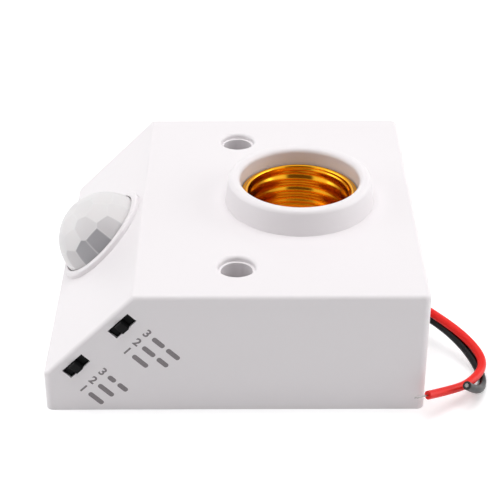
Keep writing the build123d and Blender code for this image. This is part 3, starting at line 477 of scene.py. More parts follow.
@dataclass(frozen=True)
class MilkyLens:
    """Milky polyethylene whose facets shine through its smooth skin.

    The facets touch one ball about the lens's centre: one at the pole, then ring by ring.
    The bump lifts the skin over each facet's edges, and the ridges between them are lighter.
    """

    name: str
    colour: Colour = (0.90, 0.872, 0.875)
    ridge_colour: Colour = (0.95, 0.93, 0.93)
    # Darker colour for the facets towards the near rim is painted shade.
    thin_colour: Colour = (0.47, 0.462, 0.485)
    transmission: float = 0.2
    roughness: float = 0.3
    milk_depth: float = 0.5
    milk_radius: Point = (1.0, 0.95, 0.95)
    centre: Point = (-34.472, 0.0, 20.972)
    ball_radius: float = 11.6
    skin_radius: float = 12.5
    skin_band: tuple[float, float] = (0.4, 0.2)
    relief_share: float = 0.55
    relief_limit: float = 0.93
    ridge_share: float = 0.5
    ridge_width: float = 0.010
    # Direction and spread of the painted shade on the facets.
    thin_way: tuple[float, float] = (85.0, -83.0)
    thin_reach: tuple[float, float] = (0.70, 0.95)
    rings: tuple[FacetRing, ...] = (
        FacetRing(5, 22.0, 36.0), FacetRing(10, 44.5, 0.0), FacetRing(15, 67.0, 0.0))

    def facets(self, tree: NodeTree) -> tuple[bpy.types.NodeSocket, ...]:
        """Finds the facet over each place of the lens.

        Args:
            tree: Node tree to build in.

        Returns:
            Closeness to the facet's own direction, lead over the next facet, the facet's
            closeness to the side with painted shade, and the place's distance from the centre.
        """
        offset = tree.nodes.new("ShaderNodeVectorMath")
        offset.operation = "SUBTRACT"
        tree.link(tree.coordinates, offset.inputs[0])
        offset.inputs[1].default_value = tuple(value * MM for value in self.centre)
        length = tree.nodes.new("ShaderNodeVectorMath")
        length.operation = "LENGTH"
        tree.link(offset.outputs["Vector"], length.inputs[0])
        distance = length.outputs["Value"]
        outward_part, up_part, side_part = (
            tree.calc("DIVIDE", tree.along(offset.outputs["Vector"], way), distance)
            for way in (tuple(SLOPE_OUT), tuple(SLOPE_UP), (0.0, 1.0, 0.0)))
        around = tree.calc("ARCTAN2", side_part, up_part)
        squares = [tree.calc("POWER", part, 2.0) for part in (up_part, side_part)]
        lean = tree.calc("SQRT", tree.calc("ADD", *squares))
        shade_tilt, shade_turn = (math.radians(angle) for angle in self.thin_way)
        best, second = outward_part, -1.0
        shade_closeness = math.cos(shade_tilt)
        for ring in self.rings:
            tilt, step = math.radians(ring.tilt), math.tau / ring.count
            turn = tree.calc("DIVIDE", tree.calc("SUBTRACT", around, math.radians(ring.first)), step)
            own = tree.calc("ROUND", turn)
            gap = tree.calc("MULTIPLY", tree.calc("ABSOLUTE", tree.calc("SUBTRACT", turn, own)), step)
            flat = tree.calc("MULTIPLY", outward_part, math.cos(tilt))
            reach = tree.calc("MULTIPLY", lean, math.sin(tilt))
            near = tree.calc("MULTIPLY_ADD", reach, tree.calc("COSINE", gap), flat)
            next_gap = tree.calc("SUBTRACT", step, gap)
            beside = tree.calc("MULTIPLY_ADD", reach, tree.calc("COSINE", next_gap), flat)
            own_turn = tree.calc("MULTIPLY_ADD", own, step, math.radians(ring.first) - shade_turn)
            facet_shade_closeness = tree.calc(
                "MULTIPLY_ADD", tree.calc("COSINE", own_turn), math.sin(tilt) * math.sin(shade_tilt),
                math.cos(tilt) * math.cos(shade_tilt))
            ahead = tree.calc("GREATER_THAN", near, best)
            shade_closeness = tree.calc("MULTIPLY_ADD", ahead, tree.calc("SUBTRACT", facet_shade_closeness, shade_closeness), shade_closeness)
            behind = tree.calc("MAXIMUM", beside, tree.calc("MINIMUM", near, best))
            second = tree.calc("MAXIMUM", second, behind)
            best = tree.calc("MAXIMUM", best, near)
        return best, tree.calc("SUBTRACT", best, second), shade_closeness, distance

    def material(self) -> bpy.types.Material:
        """Builds the finish: pillowed facets, light ridges and painted shade on the facets near the rim.

        Returns:
            The material.
        """
        tree = NodeTree(self.name)
        tree.set(IOR=1.5, Transmission_Weight=self.transmission, Roughness=self.roughness,
                 Specular_IOR_Level=0.5)
        tree.set(Subsurface_Weight=1.0, Subsurface_Radius=self.milk_radius,
                 Subsurface_Scale=self.milk_depth * MM)
        best, lead, shade_closeness, distance = self.facets(tree)
        # Painted shade: facets turned towards the shade direction darken to the shaded facet colour.
        painted_shade_mask = tree.ranged(shade_closeness, 0.0, 1.0, *self.thin_reach)
        tint = tree.blend(painted_shade_mask, self.colour, self.thin_colour)
        ridge = tree.ranged(lead, self.ridge_share, 0.0, 0.0, self.ridge_width)
        tree.link(tree.blend(ridge, tint, self.ridge_colour), tree.shader_input("Base Color"))
        skin_from, skin_to = ((self.skin_radius - depth) * MM for depth in self.skin_band)
        outside = tree.ranged(distance, 0.0, 1.0, skin_from, skin_to)
        rise = tree.calc("DIVIDE", self.ball_radius, tree.calc("MAXIMUM", best, self.relief_limit))
        height = tree.calc("MULTIPLY", tree.calc("SUBTRACT", rise, self.ball_radius), outside)
        tree.link(tree.bump(height, 1.0, self.relief_share), tree.shader_input("Normal"))
        return tree.material


@dataclass(frozen=True)
class BoardLaminate:
    """Circuit board under its solder mask, with raised tracks that show through.

    A track's length and the gap beside it are in rows, and a row is one track pitch wide.
    """

    name: str
    mask: Colour
    track: Colour
    track_pitch: float = 2.54
    track_length: float = 4.5
    track_gap: float = 0.35
    gap_softness: float = 0.1
    track_height: float = 0.05
    second_level: float = 0.8
    weave_scale: float = 1800.0
    weave_depth: float = 0.01

    def material(self) -> bpy.types.Material:
        """Builds the finish.

        Returns:
            The material.
        """
        tree = NodeTree(self.name)
        tree.set(IOR=1.5, Coat_Weight=0.4, Coat_Roughness=0.15)
        bricks = tree.nodes.new("ShaderNodeTexBrick")
        bricks.inputs["Scale"].default_value = 1.0
        bricks.inputs["Mortar Size"].default_value = self.track_gap
        bricks.inputs["Mortar Smooth"].default_value = self.gap_softness
        bricks.inputs["Brick Width"].default_value = self.track_length
        bricks.inputs["Row Height"].default_value = 1.0
        for socket, level in (("Color1", 1.0), ("Color2", self.second_level), ("Mortar", 0.0)):
            bricks.inputs[socket].default_value = (level, level, level, 1.0)
        cells = 1.0 / (self.track_pitch * MM)
        tree.link(tree.mapped((cells, cells, cells)), bricks.inputs["Vector"])
        grey = tree.nodes.new("ShaderNodeRGBToBW")
        tree.link(bricks.outputs["Color"], grey.inputs["Color"])
        tracks = grey.outputs["Val"]
        tree.link(tree.blend(tracks, self.mask, self.track), tree.shader_input("Base Color"))
        weave = tree.noise(self.weave_scale, 2.0)
        tree.link(tree.ranged(weave, 0.3, 0.45), tree.shader_input("Roughness"))
        relief = tree.bump(tracks, self.track_height, strength=0.5)
        woven = tree.bump(weave, self.weave_depth, strength=0.4, under=relief)
        tree.link(woven, tree.shader_input("Normal"))
        return tree.material


@dataclass(frozen=True)
class CastCoating:
    """Dipped or cast coating of a component, with a soft lumpy surface."""

    name: str
    colour: Colour
    shade: Colour
    roughness: float = 0.35
    roughness_spread: float = 0.06
    lump_scale: float = 420.0
    lump_depth: float = 0.05

    def material(self) -> bpy.types.Material:
        """Builds the finish.

        Returns:
            The material.
        """
        tree = NodeTree(self.name)
        tree.set(IOR=1.5)
        lumps = tree.noise(self.lump_scale, 2.0)
        tree.link(tree.blend(lumps, self.colour, self.shade), tree.shader_input("Base Color"))
        low, high = self.roughness - self.roughness_spread, self.roughness + self.roughness_spread
        tree.link(tree.ranged(lumps, low, high), tree.shader_input("Roughness"))
        tree.link(tree.bump(lumps, self.lump_depth, strength=0.4), tree.shader_input("Normal"))
        return tree.material


@dataclass(frozen=True)
class WireInsulation:
    """Extruded soft insulation: glossy, with faint scuffs."""

    name: str
    colour: Colour
    scuff: Colour
    roughness: float = 0.34
    scuffed_roughness: float = 0.1
    smooth_roughness: float = 0.06
    specular: float = 0.3
    scuff_scale: float = 260.0
    grain_scale: float = 900.0
    grain_depth: float = 0.012

    def material(self) -> bpy.types.Material:
        """Builds the finish.

        Returns:
            The material.
        """
        tree = NodeTree(self.name)
        tree.set(IOR=1.5, Specular_IOR_Level=self.specular)
        scuffs = tree.noise(self.scuff_scale, 4.0)
        scuffed = tree.blend(tree.ranged(scuffs, 0.0, 1.0, 0.45, 0.75), self.colour, self.scuff)
        tree.link(scuffed, tree.shader_input("Base Color"))
        low, high = self.roughness - self.smooth_roughness, self.roughness + self.scuffed_roughness
        tree.link(tree.ranged(scuffs, low, high), tree.shader_input("Roughness"))
        grain = tree.bump(tree.noise(self.grain_scale, 2.0), self.grain_depth, strength=0.4)
        tree.link(grain, tree.shader_input("Normal"))
        return tree.material


@dataclass(frozen=True)
class FilterWindow:
    """Dark coated filter in the sensor can."""

    name: str
    colour: Colour = (0.03, 0.03, 0.04)
    haze_colour: Colour = (0.06, 0.05, 0.09)
    haze_scale: float = 300.0

    def material(self) -> bpy.types.Material:
        """Builds the finish.

        Returns:
            The material.
        """
        tree = NodeTree(self.name)
        tree.set(IOR=1.9, Coat_Weight=0.6, Coat_Roughness=0.05)
        haze = tree.noise(self.haze_scale, 2.0)
        tree.link(tree.blend(haze, self.colour, self.haze_colour), tree.shader_input("Base Color"))
        tree.link(tree.ranged(haze, 0.05, 0.12), tree.shader_input("Roughness"))
        return tree.material


@dataclass(frozen=True)
class PrintedInk:
    """Pad-printed grey ink with slightly uneven cover."""

    name: str
    colour: Colour = (0.20, 0.18, 0.187)
    thin_share: float = 1.5
    cover_scale: float = 2600.0

    def material(self) -> bpy.types.Material:
        """Builds the finish.

        Returns:
            The material.
        """
        tree = NodeTree(self.name)
        tree.set(IOR=1.45, Specular_IOR_Level=0.3)
        cover = tree.noise(self.cover_scale, 3.0)
        lighter = tuple(min(1.0, self.thin_share * c) for c in self.colour)
        tree.link(tree.blend(cover, self.colour, lighter), tree.shader_input("Base Color"))
        tree.link(tree.ranged(cover, 0.45, 0.6), tree.shader_input("Roughness"))
        return tree.material


class Finishes:
    """Every finish of the lamp holder, built once and given out by name."""

    def __init__(self) -> None:
        """Builds all the materials."""
        self.housing = MouldedPlastic(
            "white moulding", (0.845, 0.81, 0.825), (0.84, 0.805, 0.82)
        ).material()
        self.plate = MouldedPlastic(
            "white back plate", (0.80, 0.775, 0.785), (0.79, 0.765, 0.775), roughness=0.42, grain_depth=0.015
        ).material()
        self.socket_base = MouldedPlastic(
            "heat-proof moulding", (0.74, 0.71, 0.66), (0.70, 0.67, 0.62), roughness=0.5, grain_depth=0.02
        ).material()
        self.black = MouldedPlastic(
            "black moulding", (0.004, 0.004, 0.0045), (0.006, 0.006, 0.0065), roughness=0.55,
            grain_depth=0.012, specular=0.12
        ).material()
        self.lens = MilkyLens("milky lens").material()
        self.brass = PressedMetal(
            "rolled brass", (0.80, 0.385, 0.021), (0.77, 0.355, 0.019), roughness=0.17,
            roughness_spread=0.03, centre=(16.8, 0.0, 0.0)
        ).material()
        self.steel = PressedMetal(
            "zinc-plated steel", (0.72, 0.72, 0.74), (0.62, 0.63, 0.66), roughness=0.28, stain_scale=400.0
        ).material()
        self.can_steel = PressedMetal(
            "nickel-plated can", (0.70, 0.68, 0.64), (0.62, 0.60, 0.57), roughness=0.22, stain_scale=500.0
        ).material()
        self.tinned = PressedMetal(
            "tinned copper", (0.33, 0.315, 0.31), (0.26, 0.24, 0.235), roughness=0.34,
            line_scale=(900.0, 900.0, 900.0), stain_scale=900.0
        ).material()
        self.sensor_board = BoardLaminate(
            "green sensor board", (0.015, 0.10, 0.045), (0.03, 0.17, 0.08)
        ).material()
        self.main_board = BoardLaminate(
            "brown main board", (0.20, 0.11, 0.045), (0.27, 0.16, 0.07)
        ).material()
        self.relay = MouldedPlastic(
            "blue relay case", (0.02, 0.10, 0.38), (0.025, 0.12, 0.42), roughness=0.3, grain_depth=0.01
        ).material()
        self.film = CastCoating(
            "yellow film capacitor", (0.75, 0.42, 0.04), (0.66, 0.36, 0.03), lump_depth=0.02
        ).material()
        self.sleeve = MouldedPlastic(
            "dark shrink sleeve", (0.01, 0.012, 0.035), (0.015, 0.018, 0.045), roughness=0.24
        ).material()
        self.dipped = CastCoating(
            "dipped green coating", (0.06, 0.16, 0.09), (0.045, 0.12, 0.07)
        ).material()
        self.beige = CastCoating(
            "beige resistor coating", (0.55, 0.40, 0.22), (0.48, 0.34, 0.18), lump_depth=0.03
        ).material()
        self.cell = CastCoating(
            "light cell face", (0.60, 0.30, 0.12), (0.45, 0.2, 0.08), lump_depth=0.02
        ).material()
        self.window = FilterWindow("sensor window").material()
        self.ink = PrintedInk("grey ink").material()
        self.red = WireInsulation(
            "red insulation", (0.79, 0.009, 0.005), (0.82, 0.016, 0.009)
        ).material()
        self.black_wire = WireInsulation(
            "black insulation", (0.003, 0.0035, 0.004), (0.006, 0.006, 0.007), roughness=0.3
        ).material()
        self.white_wire = WireInsulation(
            "white insulation", (0.78, 0.78, 0.76), (0.72, 0.72, 0.70)
        ).material()


@dataclass
class HousingMoulding:
    """The white moulding: the solid's own form with softened edges."""

    edge_width: float = 0.22
    edge_angle: float = 28.0
    edge_segments: int = 2
    slope_centre: Point = (-35.25, 0.0, 21.75)
    pocket_reach: float = 15.0
    pocket_depths: tuple[float, float] = (-6.8, -1.2)
    pocket_sides: tuple[float, float] = (-46.85, -43.5)

    def in_pocket(self, place: Vector) -> bool:
        """Whether a place lies in the walls round the two switches' knobs.

        Args:
            place: The place, in metres.

        Returns:
            Whether it does.
        """
        from_centre = place - Vector(self.slope_centre) * MM
        outer, inner = (limit * MM for limit in self.pocket_sides)
        low, high = (limit * MM for limit in self.pocket_depths)
        beside = outer < place.y < inner and low < from_centre.dot(SLOPE_OUT) < high
        return beside and abs(from_centre.dot(SLOPE_UP)) < self.pocket_reach * MM

    def soften(self, piece: bpy.types.Object) -> None:
        """Rounds the moulding's sharp edges, but not where the knobs run close to them.

        Args:
            piece: The moulding.
        """
        edit(
            piece,
            lambda: bpy.ops.mesh.select_mode(type="EDGE"),
            lambda: bpy.ops.mesh.select_all(action="DESELECT"),
            lambda: bpy.ops.mesh.edges_select_sharp(sharpness=math.radians(self.edge_angle)),
        )
        mesh = piece.data
        for edge in mesh.edges:
            first, second = (mesh.vertices[index].co for index in edge.vertices)
            if edge.select and self.in_pocket((first + second) / 2):
                edge.select = False
        edit(
            piece,
            lambda: bpy.ops.mesh.bevel(
                offset=self.edge_width * MM, offset_type="OFFSET", segments=self.edge_segments,
                affect="EDGES", clamp_overlap=True),
        )

    def build(self, finishes: Finishes) -> None:
        """Makes the moulding and the back plate, each from its solid.

        Args:
            finishes: The finishes to wear.
        """
        piece = merged_copy("housing_shell", "moulded_housing", flat_angle=0.0)
        self.soften(piece)
        shade(piece, Shading.ROUNDED)
        even_shading(piece)
        wear(piece, finishes.housing)
        carry(piece, "housing", ["housing_shell"])
        plate = merged_copy("base_plate", "moulded_back_plate", flat_angle=0.0)
        shade(plate, Shading.CREASED)
        wear(plate, finishes.plate)
        carry(plate, "housing", ["base_plate"])


@dataclass
class ThreadedSleeve:
    """Pressed brass sleeve with its rolled thread, step, floor and rolled lip."""

    centre_x: float = 16.8
    floor_hole_radius: float = 7.2
    step_radius: float = 11.2
    step_height: float = 4.2
    thread_radius: float = 13.4
    thread_depth: float = 0.64
    thread_pitch: float = 3.63
    back_crest_height: float = 31.7
    flange_radius: float = 15.1
    lip_height: float = 0.58
    lip_turn: float = 180.0
    lip_rows: int = 14
    sheet: float = 0.4
    row_height: float = 0.2
    columns: int = 192
    fade: float = 1.3
    corner: float = 0.5
    weld: float = 0.001
    wall_share: float = 0.95

    def outline(self, floor: float, mouth: float) -> list[tuple[float, float]]:
        """Inner outline from the floor's hole up to the flange, as radius and height.

        Args:
            floor: Height of the floor's upper face.
            mouth: Height of the lip's top.

        Returns:
            The outline's points.
        """
        step = floor + self.step_height
        corner = self.corner
        points = [
            (self.floor_hole_radius, floor),
            (self.step_radius - corner, floor),
            (self.step_radius, floor + corner),
            (self.step_radius, step - corner),
            (self.step_radius + corner, step),
            (self.thread_radius - corner, step),
            (self.thread_radius, step + corner),
        ]
        lip = mouth - self.lip_height
        rows = int((lip - step - corner) / self.row_height)
        for index in range(1, rows + 1):
            points.append((self.thread_radius, step + corner + (lip - step - corner) * index / rows))
        for index in range(1, self.lip_rows + 1):
            turn = math.radians(self.lip_turn * index / self.lip_rows)
            radius = self.thread_radius + self.lip_height * (1.0 - math.cos(turn))
            points.append((radius, lip + self.lip_height * math.sin(turn)))
        points.append((self.flange_radius, points[-1][1]))
        return points

    def wave(self, angle: float, height: float, low: float, high: float) -> float:
        """How far the thread stands in from the thread radius at one place.

        Args:
            angle: Angle about the socket's axis in radians.
            height: Height in millimetres.
            low: Lower end of the thread.
            high: Upper end of the thread.

        Returns:
            The inward move in millimetres.
        """
        back = math.pi / 2
        turn = (angle - back) / math.tau
        phase = (height - self.back_crest_height) / self.thread_pitch - turn
        swell = 0.5 + 0.5 * math.cos(math.tau * phase)
        near_end = min(height - low, high - height) / self.fade
        ramp = max(0.0, min(1.0, near_end))
        ease = ramp * ramp * (3.0 - 2.0 * ramp)
        return self.thread_depth * swell * ease

    def build(self, finishes: Finishes) -> None:
        """Spins the outline, rolls the thread into it and gives it its sheet.

        Args:
            finishes: The finishes to wear.
        """
        low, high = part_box("screw_shell")
        floor = low.z / MM + self.sheet
        mouth = high.z / MM
        outline = self.outline(floor, mouth)
        bpy.ops.mesh.primitive_plane_add(size=MM, location=(0, 0, 0))
        piece = bpy.context.object
        piece.name = "threaded_sleeve"
        edit(
            piece,
            lambda: bpy.ops.mesh.select_all(action="SELECT"),
            lambda: bpy.ops.mesh.merge(type="CENTER"),
        )
        here = Vector((0.0, 0.0, 0.0))
        start = Vector((outline[0][0] * MM, 0.0, outline[0][1] * MM))
        steps = [lambda move=start - here: bpy.ops.transform.translate(value=move)]
        for (radius, height), (next_radius, next_height) in zip(outline, outline[1:]):
            move = Vector(((next_radius - radius) * MM, 0.0, (next_height - height) * MM))
            steps.append(lambda move=move: bpy.ops.mesh.extrude_vertices_move(
                TRANSFORM_OT_translate={"value": move}))
        edit(
            piece,
            lambda: bpy.ops.mesh.select_mode(type="VERT"),
            lambda: bpy.ops.mesh.select_all(action="SELECT"),
            *steps,
            lambda: bpy.ops.mesh.select_all(action="SELECT"),
            lambda: bpy.ops.mesh.spin(
                steps=self.columns, angle=math.tau, center=(0, 0, 0), axis=(0, 0, 1), use_auto_merge=True),
            lambda: bpy.ops.mesh.select_all(action="SELECT"),
            lambda: bpy.ops.mesh.remove_doubles(threshold=self.weld * MM),
        )
        step_top = floor + self.step_height + self.corner
        lip = mouth - self.lip_height
        for vertex in piece.data.vertices:
            place = vertex.co
            height = place.z / MM
            on_wall = place.xy.length > self.wall_share * self.thread_radius * MM
            if step_top < height < lip and on_wall:
                angle = math.atan2(place.y, place.x)
                radius = place.xy.length - self.wave(angle, height, step_top, lip) * MM
                place.x, place.y = radius * math.cos(angle), radius * math.sin(angle)
        piece.data.transform(Matrix.Translation((self.centre_x * MM, 0.0, 0.0)))
        outward(piece)
        wall = piece.modifiers.new("sheet", "SOLIDIFY")
        wall.thickness = self.sheet * MM
        wall.offset = self.wall_side(piece)
        apply_modifiers(piece)
        shade(piece, Shading.ROUNDED)
        wear(piece, finishes.brass)
        carry(piece, "housing", ["screw_shell"])

    def wall_side(self, piece: bpy.types.Object) -> float:
        """Finds the offset that puts the sheet outside the bore.

        Args:
            piece: The sleeve before it has its sheet.

        Returns:
            One or minus one, by the way the faces point.
        """
        centre = Vector((self.centre_x * MM, 0.0))
        face = max(piece.data.polygons, key=lambda f: f.center.z)
        away = (face.center.xy - centre).normalized()
        return 1.0 if face.normal.xy.dot(away) > 0 else -1.0


@dataclass
class FacetedLens:
    """The milky dome, smooth outside, with the flat facets of its inside."""

    def build(self, finishes: Finishes) -> None:
        """Makes the lens from its solid, whose facets lie in its hollow.

        Args:
            finishes: The finishes to wear.
        """
        piece = merged_copy("fresnel_lens", "faceted_lens", flat_angle=0.05)
        shade(piece, Shading.ROUNDED)
        wear(piece, finishes.lens)
        carry(piece, "housing", ["fresnel_lens"])


@dataclass
class SwitchMarks:
    """Plain numbers and bars printed beside one slide switch.

    Each row of bars gives the lengths of that row's bars, and the rows stand row_pitch apart.
    """

    name: str
    first_row: float
    bars: tuple[tuple[float, ...], ...]
    row_pitch: float = 3.5
    start: float = 8.8
    digit_size: float = 3.1
    digit_weight: float = 0.09
    digit_width: float = 1.75
    bar_height: float = 1.3
    bar_rounding: float = 0.45
    bar_segments: int = 4
    gap: float = 0.9
    ink: float = 0.02
    slope_centre: Point = (-35.25, -47.0, 21.75)

    def place(self, along: float, reading: float) -> Vector:
        """Point on the front face, from the slope's direction and the reading direction."""
        return Vector(self.slope_centre) * MM + SLOPE_UP * (along * MM) - SLOPE_OUT * (reading * MM)

    def turned(self, piece: bpy.types.Object, along: float, reading: float) -> bpy.types.Object:
        """Lays a flat piece from the XY plane onto the front face and applies its place.

        Args:
            piece: The piece, with its start at the origin.
            along: Its place in the slope's direction.
            reading: Its place in the reading direction.

        Returns:
            The same piece.
        """
        reading_way = -SLOPE_OUT
        front = Vector((0.0, -1.0, 0.0))
        turn = Matrix((reading_way, SLOPE_UP, front)).transposed().to_4x4()
        piece.matrix_world = Matrix.Translation(self.place(along, reading)) @ turn
        apply_place(piece)
        return piece

    def digit(self, number: int, along: float) -> bpy.types.Object:
        """Makes one plain number at the start of its row.

        Args:
            number: The number.
            along: The row's place in the slope's direction.

        Returns:
            The number's mesh.
        """
        bpy.ops.object.text_add(location=(0, 0, 0))
        text = bpy.context.object
        text.data.body = str(number)
        text.data.size = self.digit_size * MM
        text.data.offset = self.digit_weight * MM
        text.data.align_y = "CENTER"
        text.data.extrude = self.ink * MM
        pick(text)
        bpy.ops.object.convert(target="MESH")
        return self.turned(bpy.context.object, along, self.start)

    def bar(self, length: float, along: float, reading: float) -> bpy.types.Object:
        """Makes one printed bar with rounded ends.

        Args:
            length: Length of the bar.
            along: The row's place in the slope's direction.
            reading: The bar's start in the reading direction.

        Returns:
            The bar's mesh.
        """
        bpy.ops.mesh.primitive_cube_add(size=1.0, location=(0, 0, 0))
        piece = bpy.context.object
        piece.scale = (length * MM, self.bar_height * MM, 2.0 * self.ink * MM)
        apply_place(piece)
        piece.data.transform(Matrix.Translation((length / 2 * MM, 0.0, 0.0)))
        edit(
            piece,
            lambda: bpy.ops.mesh.select_mode(type="EDGE"),
            lambda: bpy.ops.mesh.select_all(action="DESELECT"),
        )
        for edge in piece.data.edges:
            first, second = (piece.data.vertices[index].co for index in edge.vertices)
            edge.select = abs(first.z - second.z) > self.ink * MM
        edit(
            piece,
            lambda: bpy.ops.mesh.bevel(
                offset=self.bar_rounding * self.bar_height * MM, segments=self.bar_segments, affect="EDGES"),
        )
        return self.turned(piece, along, reading)

    def build(self, finishes: Finishes) -> None:
        """Prints the rows, the highest number first.

        Args:
            finishes: The finishes to wear.
        """
        parts = []
        for row, lengths in enumerate(self.bars):
            along = self.first_row - row * self.row_pitch
            parts.append(self.digit(len(self.bars) - row, along))
            reading = self.start + self.digit_width + self.gap
            for length in lengths:
                parts.append(self.bar(length, along, reading))
                reading += length + self.gap
        marks = join(parts, self.name)
        wear(marks, finishes.ink)
        carry(marks, "housing")


@dataclass
class SupplyLead:
    """One insulated supply lead with the bare strands at its cut end.

    The strands reach core_depth back into the insulation, turn about each other by twist
    radians, and end in steps, each step_back of their length shorter than the last.
    """

    name: str
    node: str
    slot: str
    points: tuple[Point, ...]
    strand_length: float
    strand_spread: float
    length: float
    diameter: float = 2.2
    strand_radius: float = 0.09
    strand_count: int = 7
    strand_parts: tuple[float, ...] = (0.0, 0.35, 0.7, 1.0)
    twist: float = 1.4
    step_back: float = 0.08
    bundle_radius: float = 0.15
    core_depth: float = 3.0
    curve_steps: int = 12
    round_steps: int = 6

    def curve(self, points: Iterable[Vector], name: str, radius: float) -> bpy.types.Object:
        """Makes a round tube on one smooth curve.

        Args:
            points: Control points of the curve.
            name: Name of the tube.
            radius: Radius of the tube.

        Returns:
            The tube.
        """
        data = bpy.data.curves.new(name, "CURVE")
        data.dimensions = "3D"
        data.resolution_u = self.curve_steps
        data.bevel_depth = radius * MM
        data.bevel_resolution = self.round_steps
        data.use_fill_caps = True
        corners = list(points)
        spline = data.splines.new("NURBS")
        spline.points.add(len(corners) - 1)
        for spline_point, corner in zip(spline.points, corners):
            spline_point.co = (*(corner * MM), 1.0)
        spline.order_u = 3
        spline.use_endpoint_u = True
        piece = bpy.data.objects.new(name, data)
        bpy.context.scene.collection.objects.link(piece)
        return piece

    def strands(self, finishes: Finishes) -> bpy.types.Object:
        """Makes the twisted tinned strands that leave the cut end and spread a little.

        Args:
            finishes: The finishes to wear.

        Returns:
            The strands as one piece.
        """
        end, before = Vector(self.points[-1]), Vector(self.points[-2])
        way = (end - before).normalized()
        side = way.cross(UP).normalized()
        rise = side.cross(way)
        parts = []
        for index in range(self.strand_count):
            around = math.tau * index / (self.strand_count - 1)
            ring = 0.0 if index == self.strand_count - 1 else self.bundle_radius
            route = []
            for part in self.strand_parts:
                turn = around + self.twist * part
                spread = ring * (1.0 + self.strand_spread * part * part * (1 + index % 3))
                offset = side * (spread * math.cos(turn)) + rise * (spread * math.sin(turn))
                bare_length = self.strand_length * (1.0 - self.step_back * (index % 4))
                reach = (self.core_depth + bare_length) * part
                route.append(end + way * (reach - self.core_depth) + offset)
            parts.append(self.curve(route, f"{self.name}_strand_{index}", self.strand_radius))
        for part in parts:
            pick(part)
            bpy.ops.object.convert(target="MESH")
        bundle = join(parts, f"{self.name}_bare_strands")
        shade(bundle, Shading.ROUNDED)
        wear(bundle, finishes.tinned)
        carry(bundle, "housing", [f"{self.node}_strands"])
        return bundle

    def build(self, finishes: Finishes, insulation: bpy.types.Material) -> None:
        """Args:
            finishes: The finishes for the strands.
            insulation: The lead's own finish.
        """
        lead = self.curve((Vector(point) for point in self.points), self.name, self.diameter / 2)
        lead.data.materials.append(insulation)
        carry(lead, "housing", [self.node])
        self.strands(finishes)


RED_LEAD = SupplyLead(
    "red_supply_lead", "red_lead", "red_insulation",
    (
        (-10.5, 23.0, 7.7),
        (0.0, 22.6, 7.7),
        (12.0, 15.8, 7.8),
        (29.0, 2.4, 7.8),
        (43.0, -8.6, 9.2),
        (52.1, -18.7, 8.8),
        (59.7, -26.9, 6.8),
        (63.4, -33.4, 3.8),
        (58.5, -41.4, 3.7),
        (52.6, -46.2, 5.0),
        (46.6, -50.5, 6.8),
    ),
    strand_length=4.3, strand_spread=0.08, length=119.0,
)
BLACK_LEAD = SupplyLead(
    "black_supply_lead", "black_lead", "black_insulation",
    (
        (-10.5, 19.5, 7.7),
        (0.0, 19.3, 7.7),
        (11.0, 14.0, 5.9),
        (28.0, 1.6, 5.6),
        (43.0, -8.8, 7.0),
        (52.6, -18.7, 6.6),
        (59.1, -27.5, 4.5),
        (62.5, -35.0, 1.2),
        (61.5, -40.4, 1.3),
        (58.9, -44.9, 4.2),
        (56.4, -47.7, 7.6),
    ),
    strand_length=0.3, strand_spread=0.0, length=110.0, strand_radius=0.17, bundle_radius=0.36,
)
LIGHT_SWITCH_MARKS = SwitchMarks("light_switch_marks", 10.75, ((3.7, 4.1), (3.9, 3.4), (4.8,)))
TIME_SWITCH_MARKS = SwitchMarks("time_switch_marks", -5.0, ((2.3, 3.0), (4.8,), (4.6,)))


# Solids that keep their own mesh, each with the name of its finish.
CARRIED_PARTS = {
    "base_screws": "steel",
    "socket_base": "socket_base",
    "socket_base_screws": "steel",
    "shell_rivets": "brass",
    "centre_contact": "brass",
    "contact_rivet": "brass",
    "shell_tag": "brass",
    "contact_tag": "brass",
    "shell_wire": "white_wire",
    "contact_wire": "red",
    "lens_retainer": "plate",
    "sensor_board": "sensor_board",
    "sensor_board_screws": "steel",
    "pir_sensor_can": "can_steel",
    "pir_window": "window",
    "pir_pins": "tinned",
    "light_cell": "cell",
    "board_link": "tinned",
    "main_board": "main_board",
    "main_board_screws": "steel",
    "relay": "relay",
    "film_capacitor": "film",
    "can_capacitors": "sleeve",
    "control_chip": "black",
    "varistor": "dipped",
    "fuse_resistor": "dipped",
    "rectifier_diodes": "black",
    "resistors": "beige",
    "drive_transistor": "black",
    "light_switch_case": "can_steel",
    "light_switch_base": "black",
    "light_switch_pins": "tinned",
    "light_switch_knob": "black",
    "time_switch_case": "can_steel",
    "time_switch_base": "black",
    "time_switch_pins": "tinned",
    "time_switch_knob": "black",
}


def dress_carried_parts(finishes: Finishes) -> None:
    """Gives every solid that keeps its mesh its finish.

    Args:
        finishes: The finishes to give out.
    """
    for node, finish in CARRIED_PARTS.items():
        wear(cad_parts[node], getattr(finishes, finish))
        log.info("%s wears %s", node, finish)


@dataclass(frozen=True)
class PhotoCamera:
    """Camera that stands where the photograph's camera stood."""

    place: Point = (2.37, -329.34, 217.55)
    pitch: float = 31.3
    yaw: float = 0.26
    focal_pixels: float = 1439.3
    frame_pixels: float = 500.0
    sensor: float = 36.0
    clip: tuple[float, float] = (0.01, 20.0)

    def build(self) -> None:
        """Makes the camera and sets it."""
        data = bpy.data.cameras.new("photo camera")
        data.sensor_width = self.sensor
        data.lens = self.sensor * self.focal_pixels / self.frame_pixels
        data.clip_start, data.clip_end = self.clip
        camera = bpy.data.objects.new("photo camera", data)
        camera.location = Vector(self.place) * MM
        camera.rotation_euler = (math.radians(90.0 - self.pitch), 0.0, math.radians(-self.yaw))
        bpy.context.scene.collection.objects.link(camera)
        bpy.context.scene.camera = camera


